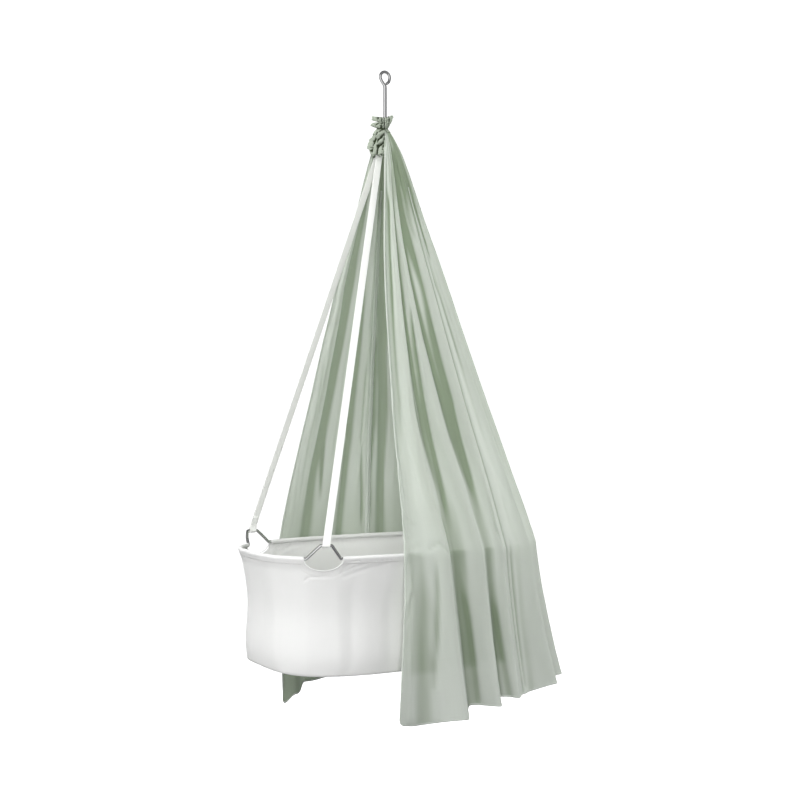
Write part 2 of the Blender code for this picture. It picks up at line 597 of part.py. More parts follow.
def build():
    clear_scene()
    parts = parts_collection()
    peaks = {peak.name: peak for peak in PEAKS}
    make_hanging_rod(parts)
    make_rim_rod(parts)
    make_strap("foot_strap", peaks["near_foot"], peaks["far_foot"], -STRAP_ON_BAR, parts)
    make_strap("head_strap", peaks["near_head"], peaks["far_head"], STRAP_ON_BAR, parts)
    make_basket_wall(parts)
    make_basket_floor(parts)
    make_panel("canopy_near_panel", NEAR_PANEL_LINES, False, True, parts)
    make_panel("canopy_back_panel", BACK_PANEL_LINES, True, True, parts)
    make_panel("canopy_far_panel", FAR_PANEL_LINES, True, False, parts)
    make_heading(parts)


build()
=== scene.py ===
"""Looks of a sheer cotton canopy, gathered over a hanging cradle: cloth, webbing, steel, light and camera."""
import math
from collections import namedtuple

import bmesh
import bpy
import numpy as np
from mathutils import Matrix, Vector


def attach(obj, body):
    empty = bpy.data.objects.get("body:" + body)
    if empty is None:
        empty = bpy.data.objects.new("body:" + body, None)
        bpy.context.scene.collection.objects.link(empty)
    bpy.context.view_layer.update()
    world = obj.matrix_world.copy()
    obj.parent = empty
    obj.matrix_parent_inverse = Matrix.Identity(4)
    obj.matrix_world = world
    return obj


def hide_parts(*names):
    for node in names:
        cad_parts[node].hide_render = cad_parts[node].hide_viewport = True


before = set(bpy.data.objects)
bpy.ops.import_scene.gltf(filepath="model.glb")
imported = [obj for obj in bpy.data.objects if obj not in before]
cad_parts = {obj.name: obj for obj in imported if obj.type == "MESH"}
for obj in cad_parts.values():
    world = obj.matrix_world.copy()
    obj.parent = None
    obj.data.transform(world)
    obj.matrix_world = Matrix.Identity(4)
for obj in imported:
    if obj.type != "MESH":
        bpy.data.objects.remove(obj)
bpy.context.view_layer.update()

# Metres throughout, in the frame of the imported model: the eye bears at the origin, the head end is at +X.

# ---- Cradle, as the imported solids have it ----
OUTLINE_POINTS = 8001
OUTWARD_STEP = 0.012        # half the stretch of outline that a square-out direction is read from
RIM_HALF_LENGTH = 0.382
RIM_HALF_WIDTH = 0.235
RIM_SQUARENESS = 2.9
RIM_Z = -1.251
RIM_ROD_RADIUS = 0.004
PEAK_HEIGHT = 0.034
PEAK_HALF_BASE = 0.042
PEAK_HALF_TOP = 0.0135
PEAK_GIRTH = 0.237
PEAK_BENDS = (0.050, 0.043, 0.041, 0.028, 0.0145, 0.0125)     # places on each side of a peak
RIM_RUN_MARGIN = 0.058
RIM_STEP = 0.012
Peak = namedtuple("Peak", "name at_foot side lean_out shift_to_head turn_degrees")
PEAKS = (
    Peak("near_foot", True, -1, 0.012, 0.006, 0.0),
    Peak("near_head", False, -1, -0.011, 0.0, 0.0),
    Peak("far_head", False, 1, -0.011, 0.0, 0.0),
    Peak("far_foot", True, 1, 0.016, -0.004, -28.0),
)
BASKET_CLOTH = 0.0012
CASING_RADIUS = 0.00545
SCOOP_HALF_WIDTH = 0.047
SCOOP_DEPTH = 0.028
BASKET_BOTTOM_Z = -1.532
BASKET_SIDE_SAG = 0.008
FLOOR_SAG = 0.006
FLOOR_SWELL = 0.0007
FLOOR_ABOVE_SEAM = 0.0018
SEAM_ALLOWANCE = 0.008
# Rows of the wall's turned-in edge under the floor: how far in from its foot, and up.
FLOOR_SEAM = ((SEAM_ALLOWANCE, 0.0), (0.004, -0.0002), (0.0015, 0.0002), (0.0003, 0.0012))
# Rows: share of the way down, and how far in the wall stands there.
WALL_PROFILE = ((0.0, 0.0), (0.12, 0.011), (0.50, 0.024), (0.85, 0.019), (1.0, 0.023))

# ---- Straps and rod ----
STRAP_WIDTH = 0.0190
STRAP_CLOTH = 0.0015
STRAP_WRAP_GAP = 0.0004
STRAP_SETTLE = 0.008
STRAP_STITCH = 0.013
STRAP_TAIL = 0.024
STRAP_ON_BAR = 0.0208
# The webbing's upper outline from selvedge to middle, as shares of half its width and half its thickness.
STRAP_SECTION = ((1.0, 0.0), (0.985, 0.62), (0.93, 0.92), (0.85, 0.80), (0.78, 1.0), (0.4, 1.0), (0.0, 1.0))
# The sewn box: its middle and half height as shares of the tail, its half width as a share of half the strap.
STITCH_BOX_DOWN = 0.62
STITCH_BOX_HEIGHT = 0.30
STITCH_BOX_WIDTH = 0.72
ROD_RADIUS = 0.0046
ROD_RINGS = 24
EYE_WIRE_RADIUS = 0.0038
EYE_HALF_WIDTH = 0.0142
EYE_CENTRE_DROP = 0.0105
EYE_NECK_Z = -0.032
EYE_START = ((0.0, -0.006), (-0.0006, -0.001), (-0.0042, 0.0035), (-0.0090, 0.0085))
EYE_END = ((0.0121, 0.0118), (0.0108, 0.0098), (0.0052, 0.0052))
CROSSBAR_Z = -0.218
CROSSBAR_HALF_LENGTH = 0.0330
CROSSBAR_RADIUS = 0.0034
CROSSBAR_END_RADIUS = 0.0050
CROSSBAR_END_LENGTH = 0.0012
# A bar's rounded end: the radii of its rings as shares, and how far it bulges against a full half ball.
CAP_RADII = (0.35, 0.72, 0.94)
CAP_REACH = 0.6
ODD_DIRECTION = (0.31, 0.87, 0.22)      # one that no bar runs in
TUBE_WEAVE_WIDTH = 0.03

# ---- Canopy: the lines of its folds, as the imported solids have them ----
CANOPY_CLOTH = 0.0007
CANOPY_TOP_Z = -0.1563
CANOPY_CLEARANCE = 0.0095
HEM_Z = -1.642
FLARE_START_POWER = 1.3
DROP_START_POWER = 1.5
NEAR_TOP_SHARE = 0.2
OUTWARD_REACH = 0.05
# Rows: height, and share of the rim line.
CANOPY_PROFILE = (
    (CANOPY_TOP_Z, 0.034),
    (-0.171, 0.058),
    (-0.219, 0.118),
    (-0.353, 0.224),
    (-0.600, 0.440),
    (-0.867, 0.672),
    (-1.080, 0.862),
    (RIM_Z, 1.000),
)
# Rows: girth, and how far out the cloth stands at the hem.
HEM_FLARE = ((-0.70, 0.030), (-0.50, 0.042), (-0.30, 0.054), (0.0, 0.072),
             (0.30, 0.064), (0.55, 0.040), (0.85, 0.020))
LINE_HEIGHTS = (-0.353, -0.867, RIM_Z, HEM_Z)
Line = namedtuple("Line", "name girths outs drop")
NEAR_SEAM = Line("near seam", (-0.318, -0.312, -0.305, -0.300), (0.002, 0.003, 0.006, 0.004), -0.021)
FAR_SEAM = Line("far seam", (0.476, 0.470, 0.458, 0.462), (0.000, -0.002, 0.004, 0.004), -0.002)
NEAR_PANEL_LINES = (
    Line("near edge", (-0.69, -0.648, -0.624, -0.656), (0.0, 0.004, 0.006, 0.012), 0.013),
    Line("near trough", (-0.662, -0.63, -0.604, -0.612), (-0.004, -0.01, 0.003, -0.002), 0.02),
    Line("ridge a", (-0.605, -0.578, -0.515, -0.488), (0.008, 0.014, 0.024, 0.034), 0.01),
    Line("trough ab", (-0.56, -0.527, -0.474, -0.446), (-0.002, -0.012, 0.002, -0.014), -0.01),
    Line("ridge b", (-0.532, -0.482, -0.41, -0.394), (0.005, 0.012, 0.022, 0.03), -0.01),
    Line("trough bc", (-0.49, -0.408, -0.37, -0.358), (-0.008, -0.018, 0.002, -0.016), -0.02),
    Line("ridge c", (-0.385, -0.35, -0.336, -0.33), (0.008, 0.012, 0.014, 0.016), -0.019),
    NEAR_SEAM,
)
BACK_PANEL_LINES = (
    NEAR_SEAM,
    Line("trough cd", (-0.28, -0.276, -0.272, -0.272), (0.001, 0.002, 0.006, -0.004), -0.021),
    Line("ridge d", (-0.24, -0.232, -0.222, -0.214), (0.006, 0.01, 0.018, 0.03), -0.033),
    Line("trough de", (-0.192, -0.186, -0.18, -0.18), (-0.005, -0.01, 0.002, -0.014), -0.033),
    Line("ridge e", (-0.142, -0.136, -0.13, -0.128), (0.007, 0.012, 0.018, 0.026), -0.032),
    Line("trough ef", (-0.086, -0.082, -0.078, -0.08), (-0.005, -0.009, 0.003, -0.01), -0.028),
    Line("ridge f", (-0.03, -0.026, -0.018, -0.012), (0.006, 0.011, 0.019, 0.028), -0.022),
    Line("trough fg", (0.03, 0.036, 0.04, 0.044), (-0.004, -0.01, 0.002, -0.014), -0.02),
    Line("ridge g", (0.082, 0.086, 0.092, 0.098), (0.005, 0.009, 0.015, 0.02), -0.016),
    Line("trough gh", (0.132, 0.138, 0.146, 0.15), (-0.005, -0.008, 0.003, -0.008), -0.014),
    Line("ridge h", (0.19, 0.198, 0.206, 0.212), (0.007, 0.012, 0.02, 0.03), -0.004),
    Line("trough hi", (0.246, 0.252, 0.262, 0.262), (-0.004, -0.008, 0.003, -0.01), -0.006),
    Line("ridge i", (0.298, 0.306, 0.318, 0.322), (0.006, 0.01, 0.016, 0.024), -0.002),
    Line("trough ij", (0.35, 0.358, 0.366, 0.37), (-0.005, -0.01, 0.002, -0.01), -0.004),
    Line("ridge j", (0.41, 0.412, 0.41, 0.42), (0.006, 0.012, 0.018, 0.026), 0.0),
    FAR_SEAM,
)
FAR_PANEL_LINES = (
    FAR_SEAM,
    Line("trough jk", (0.512, 0.506, 0.496, 0.494), (-0.006, -0.01, 0.002, -0.008), 0.0),
    Line("ridge k", (0.556, 0.548, 0.542, 0.536), (0.006, 0.012, 0.016, 0.024), 0.003),
    Line("trough kl", (0.604, 0.602, 0.59, 0.574), (-0.006, -0.012, 0.003, -0.008), 0.008),
    Line("ridge l", (0.672, 0.66, 0.65, 0.622), (0.008, 0.014, 0.018, 0.024), 0.022),
    Line("trough lm", (0.738, 0.716, 0.702, 0.668), (-0.004, -0.006, 0.004, -0.004), 0.044),
    Line("far edge", (0.79, 0.756, 0.738, 0.704), (0.002, 0.002, 0.004, 0.008), 0.07),
)

# ---- Canopy: ridges, rows, swells, shade and edges ----
# Rows: height, and the width of a ridge against the trough beside it, where 1 is even.
RIDGE_WIDTH = ((CANOPY_TOP_Z, 1.25), (-0.60, 1.30), (-0.95, 1.0), (-1.20, 0.72), (HEM_Z, 0.80))
# Rows: height, and how much further out a ridge stands than its line says.
RIDGE_LIFT = ((CANOPY_TOP_Z, 0.0), (-0.50, 0.0015), (-1.05, 0.003), (RIM_Z, 0.007), (HEM_Z, 0.005))
PANEL_ROWS = 262
EVEN_ROWS = 0.7             # the rest of the rows' spacing grows towards the hem
SWELL = 0.0013              # soft unevenness of hanging cloth, in full from this height down
SWELL_FULL_Z = -0.55
# Rows: length across the cloth of a swell, and its height against the others.
SWELL_WAVES = ((0.11, 1.0), (0.07, 0.7), (0.045, 0.5), (0.028, 0.34), (0.014, 0.16))
GATHER_DEPTH = 0.0008       # of the fine pleats below the tie
GATHER_REACH = (-0.56, -0.20)
GATHER_DEEPENS = (-0.34, -0.18)
# Painted shade: how much darker green the cloth's colour is made in folds, creases, seams and the other
# shaded places below. A reach holds the two ends of a smooth change.
OUTER_FOLD_SHADE = 0.95
INNER_FOLD_SHADE = 1.35
FOLD_SHADE_ROWS = 8
FULL_FOLD = 1.7             # depth at which a fold has its full shade, against the fold scale
FOLD_SCALE_LEAST = 0.0015
FOLD_SCALE_SPREAD = 0.0120
CLOSE_FOLD_SCALE = 0.40
# Rows: height, and how strong the painted shade of the outer folds is there.
FOLD_SHADE_BY_HEIGHT = ((CANOPY_TOP_Z, 1.35), (-0.90, 0.98), (-1.25, 0.74), (HEM_Z, 0.66))
CREASE_SHADE = 0.34
FULL_CREASE = 0.005
# Painted shade in the pleats below the tie.
TIED_SHADE = 0.40
TIED_REACH = (-0.42, -0.25)
PLEAT_RANGE = (-0.5, 0.7)
DARK_SIDE_SHADE = 0.28
# Bearings between which the cloth at the tie gets extra painted shade, a darker side.
SHADED_SIDE_BEARINGS = (264.0, 280.0, 318.0, 345.0)
# Painted shade along the turn of each seam, wider near the tie.
SEAM_SHADE = 0.50
SEAM_SHADE_WIDTH = 0.0022
SEAM_SHADE_TOP_WIDTH = 0.0090
SEAM_SHADE_WIDENS = (-0.50, -0.32)
FREE_EDGE_SHADE = 0.15
FREE_EDGE_REACH = (0.11, 0.19)     # as shares of the panel's width
# Painted shade over the canopy above z -1.10, fading out by -1.35 towards the hem.
BASE_SHADE = 0.10
BASE_SHADE_REACH = (-1.35, -1.10)
# Painted shade on the inner face: all over, more near the rim, and more again below it, where the basket
# stands inside.
INNER_BASE_SHADE = 0.26
INSIDE_RIM_SHADE = 0.26
INSIDE_RIM_REACH = 0.20
UNDER_CRADLE_SHADE = 0.60
# Painted shadow of the cradle on the sheer cloth that hangs close before it, from the rim down to the
# basket's floor.
CRADLE_SHADE = 0.24
CRADLE_SHADE_GAP = (0.012, 0.034)
CRADLE_SHADE_FLARE = 0.045
UNDER_RIM = (RIM_Z + 0.007, RIM_Z + 0.003)
OVER_BASKET_BOTTOM = (BASKET_BOTTOM_Z - 0.014, BASKET_BOTTOM_Z + 0.004)
ON_RIDGE = 0.06             # how much of the cradle's shade a ridge keeps
RIDGE_TO_TROUGH = (-0.3, 0.9)
CORNER_RADIUS = 0.014       # of a free corner at the hem
CORNER_HEIGHT = 0.05        # how far above the hem its rounding starts
NO_EDGE_NEAR = 1.0          # a distance that stands for no such edge
SEAM_TURN = 0.0026          # how far a panel's edge turns in at a seam
SEAM_TURN_WIDTH = 0.0035
SEAM_TURN_FULL_Z = -0.30
SEAM_CALM = 0.02            # beside a seam the cloth lies still
HEM_WIDTH = 0.0055
HEM_HALF_THICKNESS = 0.0009
SEAM_BAND_WIDTH = 0.0085
HEM_SECTION = ((-0.0004, 0.0), (0.0006, HEM_HALF_THICKNESS), (HEM_WIDTH * 0.7, HEM_HALF_THICKNESS),
               (HEM_WIDTH, 0.0), (HEM_WIDTH * 0.7, -HEM_HALF_THICKNESS), (0.0006, -HEM_HALF_THICKNESS))
SEAM_SECTION = ((0.0, -0.0006), (SEAM_BAND_WIDTH, -0.0006), (SEAM_BAND_WIDTH, -0.0015), (0.0, -0.0015))
# How an edge is finished: the band on it, where the stitches run on that, and how high up it starts.
EdgeFinish = namedtuple("EdgeFinish", "section stitch_in stitch_up top_z")
FREE_EDGE = EdgeFinish(HEM_SECTION, HEM_WIDTH * 0.72, HEM_HALF_THICKNESS, -0.20)
SEAM_EDGE = EdgeFinish(SEAM_SECTION, SEAM_BAND_WIDTH * 0.8, CANOPY_CLOTH / 2, -0.30)

# Creases laid on a panel. Points are (fold, height), and a negative depth makes a trough.
Crease = namedtuple("Crease", "points half_width depth")
LONG_CREASE = 0.15          # a crease longer than this fades in and out at its ends
CREASE_FADE = 0.07
CREASE_OVERRUN = 0.01       # how far past its ends the fade reaches
NEAR_CREASES = (
    Crease(((1.0, -1.28), (1.0, -1.45), (0.95, -1.62)), 0.018, 0.006),
    Crease(((1.72, -1.25), (1.64, -1.38), (1.52, -1.49), (1.46, -1.56)), 0.0085, -0.0042),
    Crease(((5.58, -0.18), (5.54, -0.25), (5.71, -0.32), (5.9, -0.46)), 0.006, -0.006),
    Crease(((5.33, -0.2), (5.58, -0.58), (5.46, -0.87), (5.1, -1.12)), 0.009, -0.0062),
    Crease(((5.0, -1.36), (5.4, -1.49), (5.55, -1.64)), 0.009, -0.005),
    Crease(((3.67, -0.6), (3.42, -0.87), (3.17, -1.1), (2.96, -1.18)), 0.006, -0.0042),
    Crease(((3.1, -1.33), (3.29, -1.42), (3.33, -1.63)), 0.008, -0.005),
    Crease(((1.45, -0.3), (1.33, -0.61), (1.25, -0.87), (1.0, -1.02)), 0.007, -0.0052),
    Crease(((5.96, -1.08), (5.9, -1.2), (6.7, -1.31)), 0.0024, -0.003),
    Crease(((0.3, -0.26), (0.3, -0.6), (0.22, -0.9)), 0.003, 0.0016),
    Crease(((0.12, -1.02), (0.42, -1.04), (0.36, -1.075)), 0.0035, 0.0026),
    Crease(((0.1, -1.05), (0.35, -1.065), (0.3, -1.1)), 0.003, -0.0024),
    Crease(((0.2, -1.14), (0.65, -1.155), (1.2, -1.17)), 0.0045, 0.0034),
    Crease(((0.3, -1.17), (0.8, -1.19), (1.05, -1.215)), 0.004, -0.0034),
    Crease(((0.15, -1.215), (0.65, -1.238), (1.25, -1.25)), 0.0035, 0.0026),
    Crease(((0.55, -1.265), (0.9, -1.238), (1.35, -1.225)), 0.003, -0.0022),
    Crease(((1.0, -1.28), (0.7, -1.33), (0.2, -1.37)), 0.006, 0.0026),
    Crease(((0.95, -1.345), (0.6, -1.39), (0.15, -1.415)), 0.005, -0.0022),
    Crease(((1.55, -1.235), (1.85, -1.222), (2.2, -1.245)), 0.004, -0.0026),
    Crease(((2.45, -1.12), (2.62, -1.2), (2.45, -1.31)), 0.007, -0.003),
    Crease(((4.45, -0.45), (4.6, -0.78), (4.4, -1.02)), 0.006, 0.0024),
    Crease(((2.62, -0.5), (2.5, -0.74), (2.62, -0.98)), 0.005, -0.0016),
    Crease(((1.4, -1.4), (1.55, -1.5), (1.45, -1.63)), 0.009, 0.0024),
    Crease(((0.55, -1.48), (0.7, -1.55), (0.62, -1.63)), 0.007, 0.0018),
)
BACK_CREASES = (
    Crease(((14.6, -0.7), (14.72, -0.95), (14.65, -1.22)), 0.005, 0.005),
    Crease(((0.5, -1.22), (0.45, -1.4), (0.45, -1.62)), 0.0085, -0.005),
    Crease(((1.67, -0.18), (1.38, -0.29), (1.36, -0.44), (1.25, -0.52)), 0.0026, -0.0055),
    Crease(((2.6, -0.2), (2.5, -0.34), (2.6, -0.5)), 0.003, -0.0045),
    Crease(((0.55, -0.24), (0.6, -0.4), (0.7, -0.6)), 0.003, -0.0045),
    Crease(((1.6, -0.4), (1.45, -0.62), (1.7, -0.85)), 0.006, 0.0022),
    Crease(((2.6, -1.02), (2.4, -1.18), (2.65, -1.33)), 0.008, -0.0024),
    Crease(((4.4, -0.7), (4.6, -0.95), (4.4, -1.15)), 0.008, 0.0026),
    Crease(((6.3, -1.2), (6.6, -1.34), (6.4, -1.5)), 0.01, -0.0026),
    Crease(((8.2, -0.6), (8.45, -0.88), (8.25, -1.1)), 0.008, 0.0024),
    Crease(((10.5, -1.0), (10.3, -1.22), (10.6, -1.42)), 0.009, -0.0026),
    Crease(((12.4, -0.56), (12.6, -0.84), (12.4, -1.06)), 0.007, 0.0022),
    Crease(((13.5, -0.7), (13.3, -0.92), (13.55, -1.16)), 0.006, -0.0024),
    Crease(((14.4, -0.86), (14.7, -1.0), (14.5, -1.2)), 0.005, 0.0022),
)
FAR_CREASES = (
    Crease(((0.95, -0.75), (0.92, -0.98), (0.54, -1.15), (0.5, -1.24)), 0.006, 0.005),
    Crease(((3.8, -0.96), (3.62, -1.05), (3.42, -1.16)), 0.004, 0.0055),
    Crease(((0.55, -0.84), (0.85, -0.98), (1.1, -1.12)), 0.004, -0.003),
    Crease(((1.9, -0.93), (2.15, -0.96), (2.35, -1.0)), 0.004, -0.0026),
    Crease(((3.1, -0.5), (3.3, -0.8), (3.2, -1.06)), 0.006, 0.0024),
    Crease(((4.6, -0.56), (4.35, -0.9), (4.6, -1.18)), 0.008, -0.0026),
    Crease(((5.3, -0.74), (5.0, -0.98), (4.7, -1.16)), 0.006, 0.0026),
    Crease(((5.7, -1.0), (5.35, -1.14), (5.1, -1.24)), 0.006, -0.0022),
    Crease(((5.4, -1.46), (5.0, -1.54), (4.6, -1.58)), 0.007, 0.0024),
)

# ---- Heading: one row for each direction seen from above, in degrees from +X ----
# The skirt hangs below the pinch: its bottom, how far out that is, how fast it spreads (1 is a plain cone).
HeadingRow = namedtuple("HeadingRow", "degrees bottom_z bottom_radius spread top_z")
PLAIN_SKIRT = -0.1567
HEADING = (
    HeadingRow(0.0, PLAIN_SKIRT, 0.0140, 1.00, -0.1150),
    HeadingRow(24.0, PLAIN_SKIRT, 0.0120, 1.00, -0.1195),
    HeadingRow(50.0, PLAIN_SKIRT, 0.0100, 1.00, -0.1170),
    HeadingRow(78.0, PLAIN_SKIRT, 0.0095, 1.00, -0.1200),
    HeadingRow(104.0, PLAIN_SKIRT, 0.0098, 1.00, -0.1180),
    HeadingRow(126.0, -0.1600, 0.0110, 1.00, -0.1200),
    HeadingRow(140.0, -0.1760, 0.0210, 0.80, -0.1185),
    HeadingRow(153.0, -0.1960, 0.0380, 0.62, -0.1180),
    HeadingRow(166.0, -0.2040, 0.0475, 0.56, -0.1180),
    HeadingRow(178.0, -0.2215, 0.0440, 0.62, -0.1195),
    HeadingRow(192.0, -0.2262, 0.0400, 0.70, -0.1185),
    HeadingRow(206.0, -0.2215, 0.0385, 0.74, -0.1205),
    HeadingRow(220.0, -0.2225, 0.0360, 0.74, -0.1210),
    HeadingRow(236.0, -0.2230, 0.0310, 0.80, -0.1195),
    HeadingRow(248.0, -0.2050, 0.0220, 0.92, -0.1195),
    HeadingRow(260.0, PLAIN_SKIRT, 0.0105, 1.00, -0.1205),
    HeadingRow(282.0, PLAIN_SKIRT, 0.0098, 1.00, -0.1215),
    HeadingRow(300.0, PLAIN_SKIRT, 0.0110, 1.00, -0.1180),
    HeadingRow(326.0, PLAIN_SKIRT, 0.0130, 1.00, -0.1138),
    HeadingRow(345.0, PLAIN_SKIRT, 0.0140, 1.00, -0.1160),
)
PINCH_Z = -0.1490
PINCH_RADIUS = 0.0066
TONGUE_START = (126, 150)
TONGUE_END = (232, 252)
# Above the loose tongue the cloth is not drawn in: how far it stands out there, and at which bearing.
PINCH_BULGE = 0.0170
PINCH_BULGE_DEGREES = 180.0
PINCH_BULGE_HALF_WIDTH = 30.0
# Rows: height, and the plain radius of the bunched cloth above the pinch.
BUNCH_RADIUS = ((-0.1570, 0.0090), (-0.1490, 0.0066), (-0.1400, 0.0082), (-0.1280, 0.0092),
                (-0.1180, 0.0100), (-0.1130, 0.0105))
# Folds that stand out of the bunched cloth: bearing, half width in degrees, and rows of height and reach.
Fin = namedtuple("Fin", "degrees half_width reaches")
FINS = (
    Fin(326, 12, ((-0.15, 0.0), (-0.14, 0.0035), (-0.128, 0.0085), (-0.118, 0.0118), (-0.113, 0.0108))),
    Fin(352, 10, ((-0.15, 0.0), (-0.138, 0.0035), (-0.124, 0.0085), (-0.116, 0.0095), (-0.113, 0.009))),
    Fin(300, 8, ((-0.151, 0.0), (-0.136, -0.004), (-0.113, -0.0042))),
    Fin(276, 9, ((-0.151, 0.0), (-0.138, 0.0024), (-0.126, 0.003), (-0.119, 0.002))),
    Fin(250, 13, ((-0.158, 0.0), (-0.15, 0.0016), (-0.14, 0.0046), (-0.128, 0.0048), (-0.119, 0.001))),
    Fin(232, 6, ((-0.152, 0.0), (-0.138, -0.0036), (-0.118, -0.0036))),
    Fin(218, 7, ((-0.15, 0.001), (-0.142, 0.006), (-0.134, 0.005), (-0.127, 0.007), (-0.12, 0.005))),
    Fin(203, 5, ((-0.15, 0.0), (-0.138, -0.003), (-0.118, -0.0034))),
    Fin(190, 7, ((-0.15, 0.004), (-0.144, 0.011), (-0.136, 0.009), (-0.128, 0.013), (-0.12, 0.008))),
    Fin(160, 8, ((-0.1325, 0.0), (-0.1295, 0.008), (-0.1265, 0.023), (-0.123, 0.0275), (-0.119, 0.025))),
    Fin(168, 8, ((-0.148, 0.0), (-0.1445, 0.012), (-0.141, 0.024), (-0.1365, 0.0275), (-0.133, 0.0225),
                 (-0.1308, 0.0060), (-0.1290, 0.0))),
    Fin(132, 8, ((-0.15, 0.0), (-0.14, 0.004), (-0.128, 0.011), (-0.119, 0.014))),
    Fin(104, 8, ((-0.15, 0.0), (-0.14, 0.004), (-0.128, 0.0095), (-0.119, 0.0115))),
    Fin(80, 8, ((-0.15, 0.0), (-0.138, 0.003), (-0.126, 0.008), (-0.119, 0.0095))),
    Fin(54, 9, ((-0.15, 0.0), (-0.138, 0.0036), (-0.126, 0.0095), (-0.118, 0.011))),
    Fin(24, 8, ((-0.15, 0.0), (-0.138, 0.0032), (-0.126, 0.008), (-0.118, 0.009))),
)
# Creases of the loose tongue: rows of (bearing, height), half width in metres, and depth.
TONGUE_CREASES = (
    Crease(((183, -0.158), (182, -0.18), (184, -0.208)), 0.0034, -0.01),
    Crease(((222, -0.166), (208, -0.176), (196, -0.183)), 0.0032, -0.0085),
    Crease(((232, -0.176), (222, -0.192), (206, -0.2)), 0.0026, -0.005),
    Crease(((200, -0.188), (206, -0.202), (204, -0.219)), 0.0028, -0.0046),
    Crease(((170, -0.166), (160, -0.182), (158, -0.196)), 0.0026, -0.0044),
    Crease(((214, -0.158), (202, -0.166), (190, -0.172)), 0.003, 0.0046),
    Crease(((226, -0.182), (214, -0.188), (200, -0.192)), 0.003, 0.0044),
    Crease(((174, -0.172), (168, -0.19), (170, -0.202)), 0.0034, 0.004),
    Crease(((192, -0.196), (194, -0.208), (192, -0.218)), 0.003, 0.004),
    Crease(((240, -0.16), (236, -0.18), (230, -0.2)), 0.0028, -0.004),
)
HEADING_COLUMNS = 480
SKIRT_ROWS = 42
BUNCH_ROWS = 35
# The lip turns in at the top. Rows: rise, share of the radius, and how much further in.
HEADING_LIP = ((0.0006, 0.985, 0.0003), (-0.0002, 0.955, 0.00066), (-0.0040, 0.90, 0.0012))
HEADING_CLOTH = 0.0006
SKIRT_WAVE = 0.0026
SKIRT_RIPPLE = 0.0022
SKIRT_TUCK = 0.0040         # how far the tongue's lowest edge turns in
TOP_WAVES = ((9, 0.0014, 0.8), (23, 0.0008, 0.0))       # times round, height and start
BULGE_RISE = 0.017
BUNCH_PLEATS = 0.0007
LEAST_ROD_GAP = 0.0007
# Rows: strength of the painted shade in hollows, depth of a hollow in full shade, and the columns and rows it
# spans.
CLOSE_HOLLOW = (1.2, 0.0011, 9, 4)
WIDE_HOLLOW = (0.7, 0.0045, 26)
# Painted shade in the pinch round the rod.
PINCH_SHADE = 0.45
PINCH_HALF_HEIGHT = 0.0045
CRUMPLE_SEED = 4
CRUMPLE_GIRTH_RADIUS = 0.016
CRUMPLE_WAVES = ((0.019, 0.0012), (0.011, 0.0009), (0.0065, 0.0006))

# ---- Basket wall ----
WALL_STEP = 0.0040
SCOOP_COLUMNS = 41
SCOOP_BINDING_RADIUS = 0.0013       # of the rolled edge of a scoop
CASING_STITCH_DROP = 0.0105
CASING_STITCH_DEPTH = 0.0003
PUCKER = 0.0009             # depth of the fine puckers under the casing
PUCKER_SPACING = 0.0128
PUCKER_REACH = 0.024
CASING_RIPPLE = 0.05
CASING_HEM_IN = 0.003       # the casing's inner hem: how far in and down it starts, and how far it runs
CASING_HEM_DROP = 0.0015
CASING_HEM_LENGTH = 0.0055
CASING_HEM_LEAN = 0.0010
FACING_SEAM_DEPTH = 0.0006
FACING_SEAM_WIDTH = 0.0020
# Soft folds of the basket wall. Share is how far down the wall the fold starts and ends.
WallFold = namedtuple("WallFold", "girth lean half_width depth start end")
WALL_FOLDS = (
    WallFold(-0.775, 0.01, 0.016, 0.003, 0.18, 1.0),
    WallFold(-0.735, 0.0, 0.012, -0.0026, 0.22, 0.95),
    WallFold(-0.69, -0.012, 0.022, 0.0024, 0.1, 0.9),
    WallFold(-0.64, 0.008, 0.016, -0.002, 0.3, 1.0),
    WallFold(-0.86, 0.014, 0.018, 0.0022, 0.25, 1.0),
    WallFold(-0.905, -0.01, 0.014, -0.0024, 0.15, 0.9),
    WallFold(-0.96, 0.006, 0.02, 0.0026, 0.2, 1.0),
    WallFold(-1.01, 0.0, 0.014, -0.0022, 0.1, 0.8),
    WallFold(-0.4, 0.01, 0.02, 0.0024, 0.2, 1.0),
    WallFold(-0.2, -0.008, 0.018, -0.0026, 0.15, 0.95),
    WallFold(-0.06, 0.006, 0.02, 0.0028, 0.1, 1.0),
    WallFold(0.06, 0.0, 0.016, -0.0024, 0.2, 1.0),
    WallFold(0.21, 0.01, 0.02, 0.0026, 0.15, 0.9),
    WallFold(0.42, -0.01, 0.022, -0.0024, 0.1, 1.0),
    WallFold(0.56, 0.008, 0.018, 0.0022, 0.2, 0.9),
    WallFold(0.72, 0.0, 0.018, -0.0026, 0.1, 1.0),
    WallFold(0.88, 0.01, 0.016, 0.0024, 0.2, 1.0),
    WallFold(0.98, -0.006, 0.018, -0.0022, 0.1, 0.9),
)
WALL_FOLD_SHARE = 0.5       # how much of those depths the taut cloth keeps
# Creases beside each scoop. Points are (distance along the rim from the peak, drop below the rim).
SCOOP_CREASES = (
    Crease(((-0.048, 0.026), (-0.062, 0.014), (-0.085, 0.006)), 0.0036, -0.0016),
    Crease(((-0.042, 0.036), (-0.074, 0.022), (-0.104, 0.014)), 0.0034, -0.0013),
    Crease(((-0.052, 0.044), (-0.108, 0.026), (-0.17, 0.016)), 0.0055, -0.0012),
    Crease(((0.066, 0.08), (0.056, 0.058), (0.036, 0.045), (-0.01, 0.042)), 0.0032, -0.0012),
    Crease(((0.05, 0.02), (0.07, 0.011), (0.095, 0.008)), 0.0036, -0.0014),
)
FACING_DEPTH = 0.019        # from the scoop's edge to the seam of its facing

